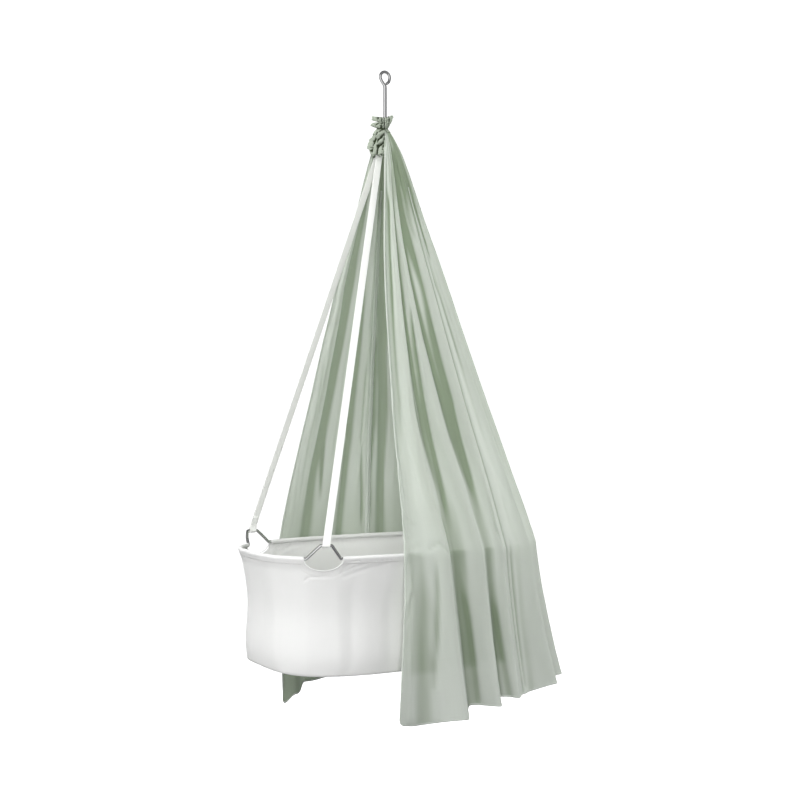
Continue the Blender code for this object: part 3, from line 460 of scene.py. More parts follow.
# ---- Stitches ----
STITCH_PITCH = 0.0032
STITCH_LENGTH = 0.0022
STITCH_WIDTH = 0.0005
STITCH_HEIGHT = 0.0006
STITCH_RING = 0.22          # of its length, from its middle to each ring
# A stitch's corners: its near end, two rings of left, top and right, and its far end.
STITCH_FACES = ((0, 2, 1), (0, 3, 2), (0, 1, 3), (1, 2, 5, 4), (2, 3, 6, 5), (3, 1, 4, 6),
                (7, 4, 5), (7, 5, 6), (7, 6, 4))

# ---- Camera and room ----
CAMERA_AZIMUTH = -30.0
CAMERA_DISTANCE = 3.4
CAMERA_Z = -0.867
CAMERA_LENS = 57.645
CAMERA_SENSOR = 36.0
AXIS_LEFT_OF_CENTRE = 0.0398    # how far the rod's axis is left of the middle of the view
FLOOR_Z = -2.42
ROOM_RADIUS = 14.0
BACKDROP_RADIUS = ROOM_RADIUS * 1.01

# Soft boxes round the object: name, bearing, height, distance, width, height of the box and power.
SOFT_BOXES = (
    ("key", -30, -0.2, 4.2, 1.8, 2.2, 129),
    ("left", -90, -0.2, 3.2, 1.2, 2.2, 55),
    ("top", -60, 2.0, 1.6, 2.0, 2.0, 62),
    ("front right", 40, -0.2, 3.2, 1.2, 2.2, 19),
    ("right", 80, 0.4, 3.2, 1.2, 2.2, 97),
    ("back", 150, 1.6, 3.0, 1.6, 1.6, 50),
    ("far left", -150, 0.4, 3.2, 1.2, 2.2, 32),
)
SOFT_BOX_AIM_Z = -0.9
WORLD_GLOW = 0.15
CARD_DISTANCE = 2.6
# Cards that the steel's reflections see, and nothing else: name, bearing in degrees, width, height and glow.
REFLECTED_CARDS = (
    ("card_far_left", -170, 3.0, 5.0, 0.0),
    ("card_left", -114, 2.4, 5.0, 0.50),
    ("card_bright", -52, 2.9, 5.0, 1.15),
    ("card_right", 20, 4.3, 5.0, 0.30),
    ("card_far_right", 90, 3.0, 5.0, 0.0),
)

ROOT = "root"


# ---------------------------------------------------------------- curves and outlines
def smooth_curve(stations, values, at):
    """Values on a smooth curve through a table's column, with no overshoot between its rows."""
    x = np.asarray(stations, dtype=float)
    y = np.asarray(values, dtype=float)
    at = np.clip(np.asarray(at, dtype=float), min(x[0], x[-1]), max(x[0], x[-1]))
    if x[0] > x[-1]:
        x, y = x[::-1], y[::-1]
    step = np.diff(x)
    rise = np.diff(y) / step
    slope = np.concatenate(([rise[0]], np.zeros(len(x) - 2), [rise[-1]]))
    same_way = rise[:-1] * rise[1:] > 0
    both = np.where(same_way, rise[:-1] + rise[1:], 1.0)
    slope[1:-1] = np.where(same_way, 2 * rise[:-1] * rise[1:] / both, 0.0)
    i = np.clip(np.searchsorted(x, at, side="right") - 1, 0, len(x) - 2)
    t = (at - x[i]) / step[i]
    start = y[i] * (1 + 2 * t) * (1 - t) ** 2 + slope[i] * step[i] * t * (1 - t) ** 2
    end = y[i + 1] * t * t * (3 - 2 * t) - slope[i + 1] * step[i] * t * t * (1 - t)
    return start + end


def smooth_step(low, high, value):
    share = np.clip((np.asarray(value, dtype=float) - low) / (high - low), 0.0, 1.0)
    return share * share * (3 - 2 * share)


def length_along(points, axis=0):
    """Distance over a path or a grid of points from its first point, row or column."""
    step = np.linalg.norm(np.diff(points, axis=axis), axis=-1)
    return np.cumsum(np.insert(step, 0, 0.0, axis=axis), axis=axis)


def read_along(values, length, at):
    """A path's points or directions at given distances along it."""
    return np.stack([np.interp(at, length, values[:, axis]) for axis in range(3)], axis=1)


def bell(away, half_width):
    """A soft swell: 1 in the middle, and almost 0 at twice the half width."""
    return np.exp(-(away / half_width) ** 2)


def gap_to_line(across, down, spots):
    """Distance of each place from a line through a few spots."""
    nearest = np.inf
    for (s0, d0), (s1, d1) in zip(spots, spots[1:]):
        run, rise = s1 - s0, d1 - d0
        share = np.clip(((across - s0) * run + (down - d0) * rise) / (run ** 2 + rise ** 2), 0.0, 1.0)
        nearest = np.minimum(nearest, np.hypot(across - s0 - share * run, down - d0 - share * rise))
    return nearest


class RoundedOblong:
    """A closed plan outline, read by the distance along it from the head end, positive on the far side."""

    def __init__(self, half_length, half_width, squareness):
        angle = np.linspace(-math.pi, math.pi, OUTLINE_POINTS)
        power = 2 / squareness
        self.x = half_length * np.sign(np.cos(angle)) * np.abs(np.cos(angle)) ** power
        self.y = half_width * np.sign(np.sin(angle)) * np.abs(np.sin(angle)) ** power
        length = length_along(np.stack((self.x, self.y), axis=1))
        self.half_girth = length[-1] / 2
        self.girth = length - self.half_girth

    def wrapped(self, girth):
        """The same place counted the short way round."""
        return (np.asarray(girth) + self.half_girth) % (2 * self.half_girth) - self.half_girth

    def point(self, girth):
        here = self.wrapped(girth)
        return np.interp(here, self.girth, self.x), np.interp(here, self.girth, self.y)

    def outward(self, girth, reach=OUTWARD_STEP):
        x0, y0 = self.point(np.asarray(girth) - reach)
        x1, y1 = self.point(np.asarray(girth) + reach)
        length = np.hypot(x1 - x0, y1 - y0)
        return (y1 - y0) / length, -(x1 - x0) / length

    def side(self, girth):
        """The outward direction as a level vector."""
        out_x, out_y = self.outward(girth)
        return np.stack((out_x, out_y, np.zeros_like(out_x)), axis=-1)

    def beside(self, girth, out, level):
        """Points at a distance out from the outline and at a height."""
        x, y = self.point(girth)
        out_x, out_y = self.outward(girth)
        return np.stack(np.broadcast_arrays(x + out_x * out, y + out_y * out, level), axis=-1)


RIM = RoundedOblong(RIM_HALF_LENGTH, RIM_HALF_WIDTH, RIM_SQUARENESS)
RIM_LINE = RoundedOblong(RIM_HALF_LENGTH + CANOPY_CLEARANCE, RIM_HALF_WIDTH + CANOPY_CLEARANCE,
                         RIM_SQUARENESS)


def unit(vectors):
    length = np.linalg.norm(vectors, axis=-1, keepdims=True)
    return vectors / np.maximum(length, 1e-12)


def resampled(points, step):
    """A path with even steps along its own length."""
    points = np.asarray(points, dtype=float)
    length = length_along(points)
    return read_along(points, length, np.linspace(0.0, length[-1], max(int(length[-1] / step), 1) + 1))


def rounded_path(points, rounds, closed=False):
    """A path with its corners cut and cut again, which bends it as a rod bends."""
    points = np.asarray(points, dtype=float)
    for _ in range(rounds):
        following = np.roll(points, -1, axis=0) if closed else points[1:]
        start = points if closed else points[:-1]
        cut = np.stack((start * 0.75 + following * 0.25, start * 0.25 + following * 0.75), axis=1)
        cut = cut.reshape(-1, 3)
        points = cut if closed else np.concatenate((points[:1], cut, points[-1:]))
    return points


# ---------------------------------------------------------------- meshes
class Cloth:
    """Collects grids of points, with a place in the weave for each, into one mesh."""

    def __init__(self):
        self.vertices, self.weave, self.shade = [], [], []
        self.faces, self.finishes, self.count = [], [], 0

    def add(self, points, weave, shade, faces, finish):
        """Points with what each carries, and groups of faces that count from the first point ever added."""
        self.vertices.append(points.reshape(-1, 3))
        self.weave.append(np.broadcast_to(weave, (*points.shape[:2], 2)).reshape(-1, 2))
        self.shade.append(np.broadcast_to(shade, points.shape[:2]).ravel())
        self.faces += faces
        self.finishes += [np.full(len(group), finish) for group in faces]
        self.count += points.size // 3

    def grid(self, points, weave, wrap=False, keep=None, shade=0.0):
        rows, columns = points.shape[:2]
        index = np.arange(rows * columns).reshape(rows, columns) + self.count
        if wrap:
            index = np.hstack((index, index[:, :1]))
        quads = np.stack((index[:-1, :-1], index[:-1, 1:], index[1:, 1:], index[1:, :-1]), axis=-1)
        quads = quads[keep] if keep is not None else quads.reshape(-1, 4)
        self.add(points, weave, shade, [quads], 0)

    def mesh(self, name):
        mesh = bpy.data.meshes.new(name)
        faces = [tuple(face) for group in self.faces for face in group.tolist()]
        mesh.from_pydata(np.concatenate(self.vertices).tolist(), [], faces)
        corners = np.concatenate([group.ravel() for group in self.faces])
        layer = mesh.uv_layers.new(name="weave")
        layer.data.foreach_set("uv", np.concatenate(self.weave)[corners].ravel().astype(np.float32))
        mesh.polygons.foreach_set("material_index", np.concatenate(self.finishes).astype(np.int32))
        # Each point's painted shade, by which a cloth material darkens its colour.
        shade = mesh.attributes.new("shade", "FLOAT", "POINT")
        shade.data.foreach_set("value", np.concatenate(self.shade).astype(np.float32))
        mesh.shade_smooth()
        return mesh


def link(name, data):
    made = bpy.data.objects.new(name, data)
    bpy.context.scene.collection.objects.link(made)
    return made


def box_mean(values, reach, wrap=False):
    """Mean over the columns up to a reach on either side."""
    padded = np.pad(values, ((0, 0), (reach, reach)), mode="wrap" if wrap else "edge")
    total = np.cumsum(np.pad(padded, ((0, 0), (1, 0))), axis=1)
    return (total[:, 2 * reach + 1:] - total[:, :-2 * reach - 1]) / (2 * reach + 1)


def thickened(mesh, thickness, sides=None):
    """The same sheet as a thin closed solid. Sides are the outward normals, and each side's own painted
    shade.
    """
    made = link(mesh.name, mesh)
    solidify = made.modifiers.new("cloth", "SOLIDIFY")
    solidify.thickness = thickness
    solidify.offset = 0.0
    bpy.context.view_layer.update()
    solid = bpy.data.meshes.new_from_object(made.evaluated_get(bpy.context.evaluated_depsgraph_get()))
    bpy.data.objects.remove(made, do_unlink=True)
    if sides is not None:
        outward, outer, inner = sides
        spots = np.empty(len(solid.vertices) * 3, dtype=np.float32)
        solid.vertices.foreach_get("co", spots)
        apart = spots[:outward.size] - spots[outward.size:outward.size * 2]
        layers = (outer, inner) if np.sum(apart * outward.ravel()) > 0 else (inner, outer)
        shade = np.concatenate([layer.ravel() for layer in layers]).astype(np.float32)
        solid.attributes["shade"].data.foreach_set("value", shade)
    return solid


def joined(name, meshes, materials):
    """One piece from several meshes that wear the same list of materials."""
    shape = bmesh.new()
    for mesh in meshes:
        shape.from_mesh(mesh)
    loose = [vertex for vertex in shape.verts if not vertex.link_faces]
    bmesh.ops.delete(shape, geom=loose, context="VERTS")
    bmesh.ops.recalc_face_normals(shape, faces=shape.faces)
    mesh = bpy.data.meshes.new(name)
    shape.to_mesh(mesh)
    shape.free()
    mesh.shade_smooth()
    for material in materials:
        mesh.materials.append(material)
    return link(name, mesh)


def normals_of(points):
    """The directions a grid of points faces, turned to point away from the rod's axis."""
    normals = unit(np.cross(np.gradient(points, axis=0), np.gradient(points, axis=1)))
    away = np.sum(points[..., :2] * normals[..., :2], axis=-1)
    return -normals if away.mean() < 0 else normals


def band(cloth, edge, inward, normal, section, weave):
    """A closed band lofted along an edge. The section's rows are (inward, along the normal)."""
    loop = [edge + inward * across + normal * up for across, up in section]
    coordinates = np.stack([weave + (across, up) for across, up in section], axis=1)
    cloth.grid(np.stack(loop, axis=1), coordinates, wrap=True)


def stitches(cloth, path, normal):
    """A row of stitches in thread, the second material, along a path that lies on the cloth."""
    length = length_along(path)
    middles = np.arange(STITCH_PITCH, length[-1] - STITCH_PITCH, STITCH_PITCH)
    if len(middles) == 0:
        return
    start, end = (read_along(path, length, middles + out) for out in (-STITCH_LENGTH / 2, STITCH_LENGTH / 2))
    up = unit(read_along(normal, length, middles))
    along = unit(end - start)
    side = unit(np.cross(along, up)) * STITCH_WIDTH / 2
    corners = [start]
    for share in (-STITCH_RING, STITCH_RING):
        ring = (start + end) / 2 + along * STITCH_LENGTH * share
        corners += [ring - side, ring + up * STITCH_HEIGHT, ring + side]
    corners.append(end)
    base = np.arange(len(middles))[:, None] * len(corners) + cloth.count
    cloth.add(np.stack(corners, axis=1), (0.0, 0.0), 0.0, [base + np.array(face) for face in STITCH_FACES], 1)


def tube(cloth, path, radii, sides, closed=False):
    """A round bar along a path, with rounded ends unless it is closed."""
    path = np.asarray(path, dtype=float)
    radii = np.broadcast_to(np.asarray(radii, dtype=float), (len(path),))
    if closed:
        tangent = unit(np.roll(path, -1, axis=0) - np.roll(path, 1, axis=0))
    else:
        tangent = unit(np.gradient(path, axis=0))
        bulge = np.array(CAP_RADII)
        push = np.sqrt(1 - bulge ** 2) * CAP_REACH
        head = [path[0] - tangent[0] * radii[0] * out for out in push]
        tail = [path[-1] + tangent[-1] * radii[-1] * out for out in push[::-1]]
        path = np.concatenate(([head[0]], head, path, tail, [tail[-1]]))
        radii = np.concatenate(([0.0], bulge * radii[0], radii, bulge[::-1] * radii[-1], [0.0]))
        caps = len(bulge) + 1
        tangent = np.pad(tangent, ((caps, caps), (0, 0)), mode="edge")
    side = unit(np.cross(tangent[0], ODD_DIRECTION))
    angle = np.linspace(0, 2 * math.pi, sides, endpoint=False)[:, None]
    rings = []
    for centre, ahead, radius in zip(path, tangent, radii):
        side = unit(side - ahead * np.dot(side, ahead))
        up = np.cross(ahead, side)
        rings.append(centre + (side * np.cos(angle) + up * np.sin(angle)) * radius)
    points = np.stack(rings)
    around = np.linspace(0, 1, sides, endpoint=False) * TUBE_WEAVE_WIDTH
    weave = np.stack(np.broadcast_arrays(around[None, :], length_along(path)[:, None]), axis=-1)
    if closed:
        closing = np.roll(points[0], best_turn(points[-1], points[0]), axis=0)
        points = np.concatenate((points, closing[None]))
        weave = np.concatenate((weave, weave[-1:]))
    cloth.grid(points, weave, wrap=True)


def best_turn(ring, first):
    """How far the first ring is rolled round to meet the last one without a twist."""
    gaps = [np.linalg.norm(np.roll(first, turn, axis=0) - ring) for turn in range(len(ring))]
    return int(np.argmin(gaps))


# ---------------------------------------------------------------- materials
class Nodes:
    """A material's node tree, with short calls to add and join nodes."""

    def __init__(self, name):
        self.material = bpy.data.materials.new(name)
        self.material.use_nodes = True
        self.tree = self.material.node_tree
        self.shader = self.tree.nodes["Principled BSDF"]
        self.output = self.tree.nodes["Material Output"]

    def add(self, kind, inputs=None, **settings):
        node = self.tree.nodes.new(kind)
        for name, value in settings.items():
            setattr(node, name, value)
        self.fill(node, inputs or {})
        return node

    def fill(self, node, inputs):
        for name, value in inputs.items():
            if isinstance(value, bpy.types.NodeSocket):
                self.tree.links.new(value, node.inputs[name])
            else:
                node.inputs[name].default_value = value

    def math(self, operation, first, second=0.0):
        return self.add("ShaderNodeMath", {0: first, 1: second}, operation=operation).outputs[0]

    def sum(self, first, first_part, second, second_part):
        """The sum of two values, each taken in its own part."""
        return self.math("ADD", self.math("MULTIPLY", first, first_part),
                         self.math("MULTIPLY", second, second_part))

    def streaks(self, weave, across, along, detail):
        """Noise drawn out along one direction of the weave."""
        stretched = self.add("ShaderNodeMapping", {"Vector": weave, "Scale": (across, along, 1.0)})
        noise = {"Vector": stretched.outputs[0], "Scale": 1.0, "Detail": detail}
        return self.add("ShaderNodeTexNoise", noise).outputs[0]


def cloth_material(name, colour, deep_colour, through, sheer, thread, bump, painted_shade_colour=None):
    """Woven cloth: threads, slubs, unevenness, light that passes through and the gaps of a sheer weave. With
    a painted shade colour, the colour is darkened by the mesh's painted shade.
    """
    made = Nodes(name)
    weave = made.add("ShaderNodeUVMap", uv_map="weave").outputs[0]
    parts = made.add("ShaderNodeSeparateXYZ", {0: weave})
    turns = 2 * math.pi / thread
    warp = made.math("SINE", made.math("MULTIPLY", parts.outputs[0], turns))
    weft = made.math("SINE", made.math("MULTIPLY", parts.outputs[1], turns))
    threads = made.math("MULTIPLY", warp, weft)
    uneven = made.sum(made.streaks(weave, 700.0, 9.0, 2.0), 0.55, made.streaks(weave, 11.0, 800.0, 2.0), 0.45)
    place = made.add("ShaderNodeTexCoord").outputs["Object"]
    cloud = made.add("ShaderNodeTexNoise", {"Vector": place, "Scale": 7.0, "Detail": 3.0})
    amount = made.sum(uneven, 0.7, cloud.outputs[0], 0.3)
    ramp = made.add("ShaderNodeMapRange", {"Value": amount, "From Min": 0.3, "From Max": 0.7})
    shades = {0: ramp.outputs[0], 6: (*deep_colour, 1.0), 7: (*colour, 1.0)}
    tinted = made.add("ShaderNodeMix", shades, data_type="RGBA").outputs[2]
    if painted_shade_colour:
        # Painted shade: the shade attribute darkens the colour towards the painted shade colour, standing in
        # for shade in folds and hollows.
        shade = made.add("ShaderNodeAttribute", attribute_name="shade")
        deeper = {0: shade.outputs["Fac"], 6: tinted, 7: (*painted_shade_colour, 1.0)}
        tinted = made.add("ShaderNodeMix", deeper, data_type="RGBA", blend_type="MULTIPLY").outputs[2]
    height = made.sum(threads, 0.5, uneven, 1.2)
    bumps = {"Height": height, "Strength": bump, "Distance": thread * 0.5}
    relief = made.add("ShaderNodeBump", bumps).outputs[0]
    made.fill(made.shader, {"Base Color": tinted, "Normal": relief, "Roughness": 0.9,
                            "Specular IOR Level": 0.2, "Sheen Weight": 0.25, "Sheen Roughness": 0.45})
    glow = made.add("ShaderNodeBsdfTranslucent", {"Color": tinted, "Normal": relief})
    mixed = {"Fac": through, 1: made.shader.outputs[0], 2: glow.outputs[0]}
    body = made.add("ShaderNodeMixShader", mixed).outputs[0]
    if sheer > 0:
        gaps = made.add("ShaderNodeBsdfTransparent")
        body = made.add("ShaderNodeMixShader", {"Fac": sheer, 1: body, 2: gaps.outputs[0]}).outputs[0]
    made.fill(made.output, {"Surface": body})
    return made.material


def steel_material(name):
    """Polished steel with a faint drawn grain along the bar."""
    made = Nodes(name)
    grain = made.streaks(made.add("ShaderNodeUVMap", uv_map="weave").outputs[0], 500.0, 6.0, 3.0)
    rough = made.add("ShaderNodeMapRange", {"Value": grain, "To Min": 0.10, "To Max": 0.24})
    relief = made.add("ShaderNodeBump", {"Height": grain, "Strength": 0.04, "Distance": 0.0001})
    made.fill(made.shader, {"Base Color": (0.74, 0.74, 0.745, 1.0), "Metallic": 1.0,
                            "Roughness": rough.outputs[0], "Normal": relief.outputs[0]})
    return made.material


def plain_material(name, colour, roughness, glow, light=None):
    made = Nodes(name)
    made.fill(made.shader, {"Base Color": (*colour, 1.0), "Roughness": roughness, "Specular IOR Level": 0.0,
                            "Emission Color": (*(light or colour), 1.0), "Emission Strength": glow})
    return made.material


# ---------------------------------------------------------------- canopy
def cosine_ease(share):
    return (1 - np.cos(np.pi * share)) / 2


def fold_ease(lines, first, share, heights):
    """How the cloth turns from line to line: narrow troughs near the top, narrow ridges near the hem."""
    power = smooth_curve(*zip(*RIDGE_WIDTH), heights)[:, None]
    ridge = np.array([line.name.startswith("ridge") for line in lines])
    coming = np.where(ridge[first + 1], 1 - cosine_ease((1 - share) ** power), cosine_ease(share))
    return np.where(ridge[first], cosine_ease(share ** power), coming)


def canopy_surface(lines, folds, heights):
    """Points of a panel: a row for each height, a column for each place counted in folds from its edge."""
    first = np.minimum(np.floor(folds).astype(int), len(lines) - 2)
    share = folds - first
    stations = (CANOPY_TOP_Z,) + LINE_HEIGHTS
    lift = smooth_curve(*zip(*RIDGE_LIFT), heights)
    girth_lines = np.array([smooth_curve(stations, line.girths[:1] + line.girths, heights)
                            for line in lines]).T
    out_lines = np.array([smooth_curve(stations, (0.0,) + line.outs, heights)
                          + lift * line.name.startswith("ridge") for line in lines]).T
    drop_lines = np.array([line.drop for line in lines])

    def between(values, part):
        return values[..., first] * (1 - part) + values[..., first + 1] * part

    girth = between(girth_lines, share)
    out = between(out_lines, fold_ease(lines, first, share, heights))
    drop = between(drop_lines, cosine_ease(share))
    level = np.asarray(heights)[:, None]
    below_rim = rim_to_hem(level)
    scale = smooth_curve(*zip(*CANOPY_PROFILE), heights)[:, None]
    flare = np.interp(girth, *zip(*HEM_FLARE)) * below_rim ** FLARE_START_POWER
    reach = out * np.clip(scale / NEAR_TOP_SHARE, 0.0, 1.0) + flare
    x, y = RIM_LINE.point(girth)
    out_x, out_y = RIM_LINE.outward(girth, OUTWARD_REACH)
    z = level - drop * below_rim ** DROP_START_POWER
    return np.stack((x * scale + out_x * reach, y * scale + out_y * reach, z), axis=2)


def rim_to_hem(level):
    """How far down from the rim to the hem a height is, as a share."""
    return np.clip((RIM_Z - level) / (RIM_Z - HEM_Z), 0.0, 1.0)


def pleats(angle):
    coarse = np.sin(26 * angle + 2.0 * np.sin(3 * angle))
    return coarse + 0.6 * np.sin(41 * angle + 1.3 * np.sin(5 * angle) + 0.7)


def gathers(angle, z):
    """The fine pleats that run down from the tie, by direction seen from above and height."""
    strength = smooth_step(*GATHER_REACH, z) * (0.45 + 0.55 * np.sin(3 * angle + 1.0) ** 2)
    return GATHER_DEPTH * (1 + smooth_step(*GATHER_DEEPENS, z)) * strength * pleats(angle)


def crease_depth(across, folds, heights, creases):
    """How far the creases push each point of a panel out."""
    down = np.broadcast_to(heights[:, None], across.shape)
    depth = np.zeros(across.shape)
    for crease in creases:
        spots = [(float(np.interp(fold, folds, across[int(np.argmin(np.abs(heights - height)))])), height)
                 for fold, height in crease.points]
        top, bottom = (pick(height for _, height in crease.points) for pick in (max, min))
        fade = 1.0
        if top - bottom > LONG_CREASE:
            fade = smooth_step(top + CREASE_OVERRUN, top - CREASE_FADE, down)
            if bottom > HEM_Z + LONG_CREASE:
                fade = fade * smooth_step(bottom - CREASE_OVERRUN, bottom + CREASE_FADE, down)
        depth += fade * crease.depth * bell(gap_to_line(across, down, spots), crease.half_width)
    return depth


def soft_unevenness(across, down, seed):
    """Low swells in hanging cloth, longer down the cloth than across it."""
    draw = np.random.default_rng(seed)
    total = np.zeros_like(across)
    for wave, height in SWELL_WAVES:
        for _ in range(3):
            tilt = draw.uniform(-0.25, 0.25)
            phase = draw.uniform(0, 2 * math.pi, 2)
            swell = np.sin(2 * math.pi * (across + tilt * down) / wave + phase[0]
                           + 1.5 * np.sin(2 * math.pi * down / (wave * 6) + phase[1]))
            total += height * swell * np.sin(2 * math.pi * down / (wave * 9) + phase[1])
    return total / 3


def cradle_shade(points):
    """Painted shadow of the cradle right behind the sheer cloth: how much it darkens the cloth, most where
    the cloth hangs closest.
    """
    x, y, level = np.abs(points[..., 0]), np.abs(points[..., 1]), points[..., 2]
    ratio = (x / RIM_HALF_LENGTH) ** RIM_SQUARENESS + (y / RIM_HALF_WIDTH) ** RIM_SQUARENESS
    ratio = np.maximum(ratio ** (1 / RIM_SQUARENESS), 0.5)
    gap = np.hypot(x, y) * (1 - 1 / ratio) - CRADLE_SHADE_FLARE * rim_to_hem(level) ** FLARE_START_POWER
    close = CRADLE_SHADE * (1 - smooth_step(*CRADLE_SHADE_GAP, gap))
    return close * smooth_step(*UNDER_RIM, level) * smooth_step(*OVER_BASKET_BOTTOM, level)


def fold_shade(points, normals, columns_per_fold, creased, seam_gap, free_gap):
    """How deep in a fold each point lies, for the outer and the inner face, as painted shade that darkens the
    green there; creases, seams, gathers and the cradle close behind add to it.
    """
    span = np.linalg.norm(points[:, -1] - points[:, 0], axis=1)[:, None]
    scale = FOLD_SCALE_LEAST + FOLD_SCALE_SPREAD * span / span.max()
    stands = 0.0
    for reach, part in ((columns_per_fold, 1.0), (columns_per_fold // 3, CLOSE_FOLD_SCALE)):
        middle = np.stack([box_mean(points[..., axis], reach) for axis in range(3)], axis=-1)
        stands = stands + np.sum((points - middle) * normals, axis=-1) / (scale * part)
    stands = box_mean(stands.T, FOLD_SHADE_ROWS).T
    level = points[..., 2]
    angle = np.arctan2(points[..., 1], points[..., 0])
    low, full, fading, end = SHADED_SIDE_BEARINGS
    bearing = np.degrees(angle) % 360.0
    dark_side = smooth_step(low, full, bearing) * (1 - smooth_step(fading, end, bearing))
    tied = smooth_step(*TIED_REACH, level)
    widening = (SEAM_SHADE_TOP_WIDTH - SEAM_SHADE_WIDTH) * smooth_step(*SEAM_SHADE_WIDENS, level)
    seam = SEAM_SHADE * bell(seam_gap, SEAM_SHADE_WIDTH + widening)

    def folds(strength, side):
        """Shade of folds and creases on the face where a trough has this sign."""
        deep = strength * smooth_step(0.0, FULL_FOLD, side * stands)
        return deep + CREASE_SHADE * smooth_step(0.0, FULL_CREASE, side * creased) + seam

    def gathered(side):
        return TIED_SHADE * smooth_step(*PLEAT_RANGE, side * pleats(angle))

    outer = folds(OUTER_FOLD_SHADE, -1)
    outer *= smooth_curve(*zip(*FOLD_SHADE_BY_HEIGHT), np.clip(level, HEM_Z, CANOPY_TOP_Z))
    outer *= FREE_EDGE_SHADE + (1 - FREE_EDGE_SHADE) * smooth_step(*FREE_EDGE_REACH, free_gap / span)
    outer += BASE_SHADE * smooth_step(*BASE_SHADE_REACH, level)
    close = ON_RIDGE + (1 - ON_RIDGE) * smooth_step(*RIDGE_TO_TROUGH, -stands)
    outer += cradle_shade(points) * close
    outer += tied * (gathered(-1) * (1 + dark_side) + DARK_SIDE_SHADE * dark_side)
    inner = folds(INNER_FOLD_SHADE, 1) + tied * gathered(1) + INNER_BASE_SHADE
    inner += INSIDE_RIM_SHADE * smooth_step(RIM_Z + INSIDE_RIM_REACH, RIM_Z, level)
    inner += UNDER_CRADLE_SHADE * smooth_step(RIM_Z, BASKET_BOTTOM_Z, level)
    return np.clip(outer, 0.0, 1.0), np.clip(inner, 0.0, 1.0)


def finish_edge(trim, finish, edge, inward, normals, weave):
    """A band along an edge, with a row of stitches on it."""
    band(trim, edge, inward, normals, finish.section, weave)
    stitches(trim, edge + inward * finish.stitch_in + normals * finish.stitch_up, normals)


def panel_piece(name, lines, creases, columns_per_fold, seam_first, seam_last, seed):
    """A panel of the canopy, with its hem, seams and stitches."""
    folds = np.linspace(0, len(lines) - 1, (len(lines) - 1) * columns_per_fold + 1)
    share = np.linspace(0, 1, PANEL_ROWS)
    heights = CANOPY_TOP_Z + (HEM_Z - CANOPY_TOP_Z) * (EVEN_ROWS * share + (1 - EVEN_ROWS) * share ** 2)
    points = canopy_surface(lines, folds, heights)
    normals = normals_of(points)
    level = points[..., 2]
    across = length_along(points, axis=1)
    width = np.broadcast_to(across[-1:], across.shape)
    creased = crease_depth(across, folds, heights, creases)
    swell = SWELL * smooth_step(CANOPY_TOP_Z, SWELL_FULL_Z, level)
    push = gathers(np.arctan2(points[..., 1], points[..., 0]), level) + creased
    push += swell * soft_unevenness(width, level, seed)
    near_hem = smooth_step(HEM_Z + CORNER_HEIGHT, HEM_Z, heights)[:, None]
    lift = np.zeros(across.shape)
    seam_gap = free_gap = np.full(across.shape, NO_EDGE_NEAR)
    for is_seam, gap in ((seam_first, across), (seam_last, across[:, -1:] - across)):
        if is_seam:
            seam_gap = np.minimum(seam_gap, gap)
            full = smooth_step(CANOPY_TOP_Z, SEAM_TURN_FULL_Z, level)
            turned = SEAM_TURN * full * bell(gap, SEAM_TURN_WIDTH)
            push = push * smooth_step(0.0, SEAM_CALM, gap) - turned
        else:
            free_gap = np.minimum(free_gap, gap)
            inside = np.clip(CORNER_RADIUS - gap, 0.0, CORNER_RADIUS)
            lift += near_hem * (CORNER_RADIUS - np.sqrt(CORNER_RADIUS ** 2 - inside ** 2))
    points = points + normals * push[..., None]
    points[..., 2] += lift
    normals = normals_of(points)
    weave = np.stack((width, length_along(points)), axis=-1)
    shades = fold_shade(points, normals, columns_per_fold, creased, seam_gap, free_gap)
    sheet = Cloth()
    sheet.grid(points, weave)
    trim = Cloth()
    finish_edge(trim, FREE_EDGE, points[-1], unit(points[-4] - points[-1]), normals[-1], weave[-1])
    for column, inner, is_seam in ((0, 3, seam_first), (-1, -4, seam_last)):
        finish = SEAM_EDGE if is_seam else FREE_EDGE
        rows = slice(np.searchsorted(-heights, -finish.top_z), None)
        inward = unit(points[:, inner] - points[:, column])
        finish_edge(trim, finish, points[rows, column], inward[rows],
                    normals[rows, column], weave[rows, column])
    solid = thickened(sheet.mesh(name + "_sheet"), CANOPY_CLOTH, (normals, *shades))
    return joined(name, (solid, trim.mesh(name + "_trim")), (GREEN_COTTON, GREEN_THREAD))


def bearing_gap(angle, degrees):
    """Degrees from a bearing, the short way round."""
    return (np.degrees(angle) - degrees + 180.0) % 360.0 - 180.0


def tongue_creases(angle, level, radius):
    """The crumpling of the loose tongue, as a push out of its own surface."""
    push = np.zeros_like(level)
    for crease in TONGUE_CREASES:
        spots = [(np.radians(-bearing_gap(angle, degrees)) * radius, height)
                 for degrees, height in crease.points]
        push += crease.depth * bell(gap_to_line(0.0, level, spots), crease.half_width)
    return push


def crumples(angle, level):
    """Fine sharp creases in every direction, as cotton keeps them where it is tied and let go."""
    draw = np.random.default_rng(CRUMPLE_SEED)
    total = np.zeros_like(level)
    for wave, height in CRUMPLE_WAVES:
        for _ in range(3):
            turn = draw.uniform(-0.9, 0.9)
            phase = draw.uniform(0, 2 * math.pi, 2)
            count = max(round(2 * math.pi * CRUMPLE_GIRTH_RADIUS * math.cos(turn) / wave), 1)
            bend = 1.6 * np.sin(2 * angle + phase[1] + 90 * level)
            bend = bend + 0.8 * np.sin(5 * angle - 210 * level + phase[0])
            slant = 4 * math.pi * level * math.sin(turn) / wave
            total += height * (np.abs(np.sin(0.5 * (count * angle + slant) + phase[0] + bend)) - 0.62)
    return total


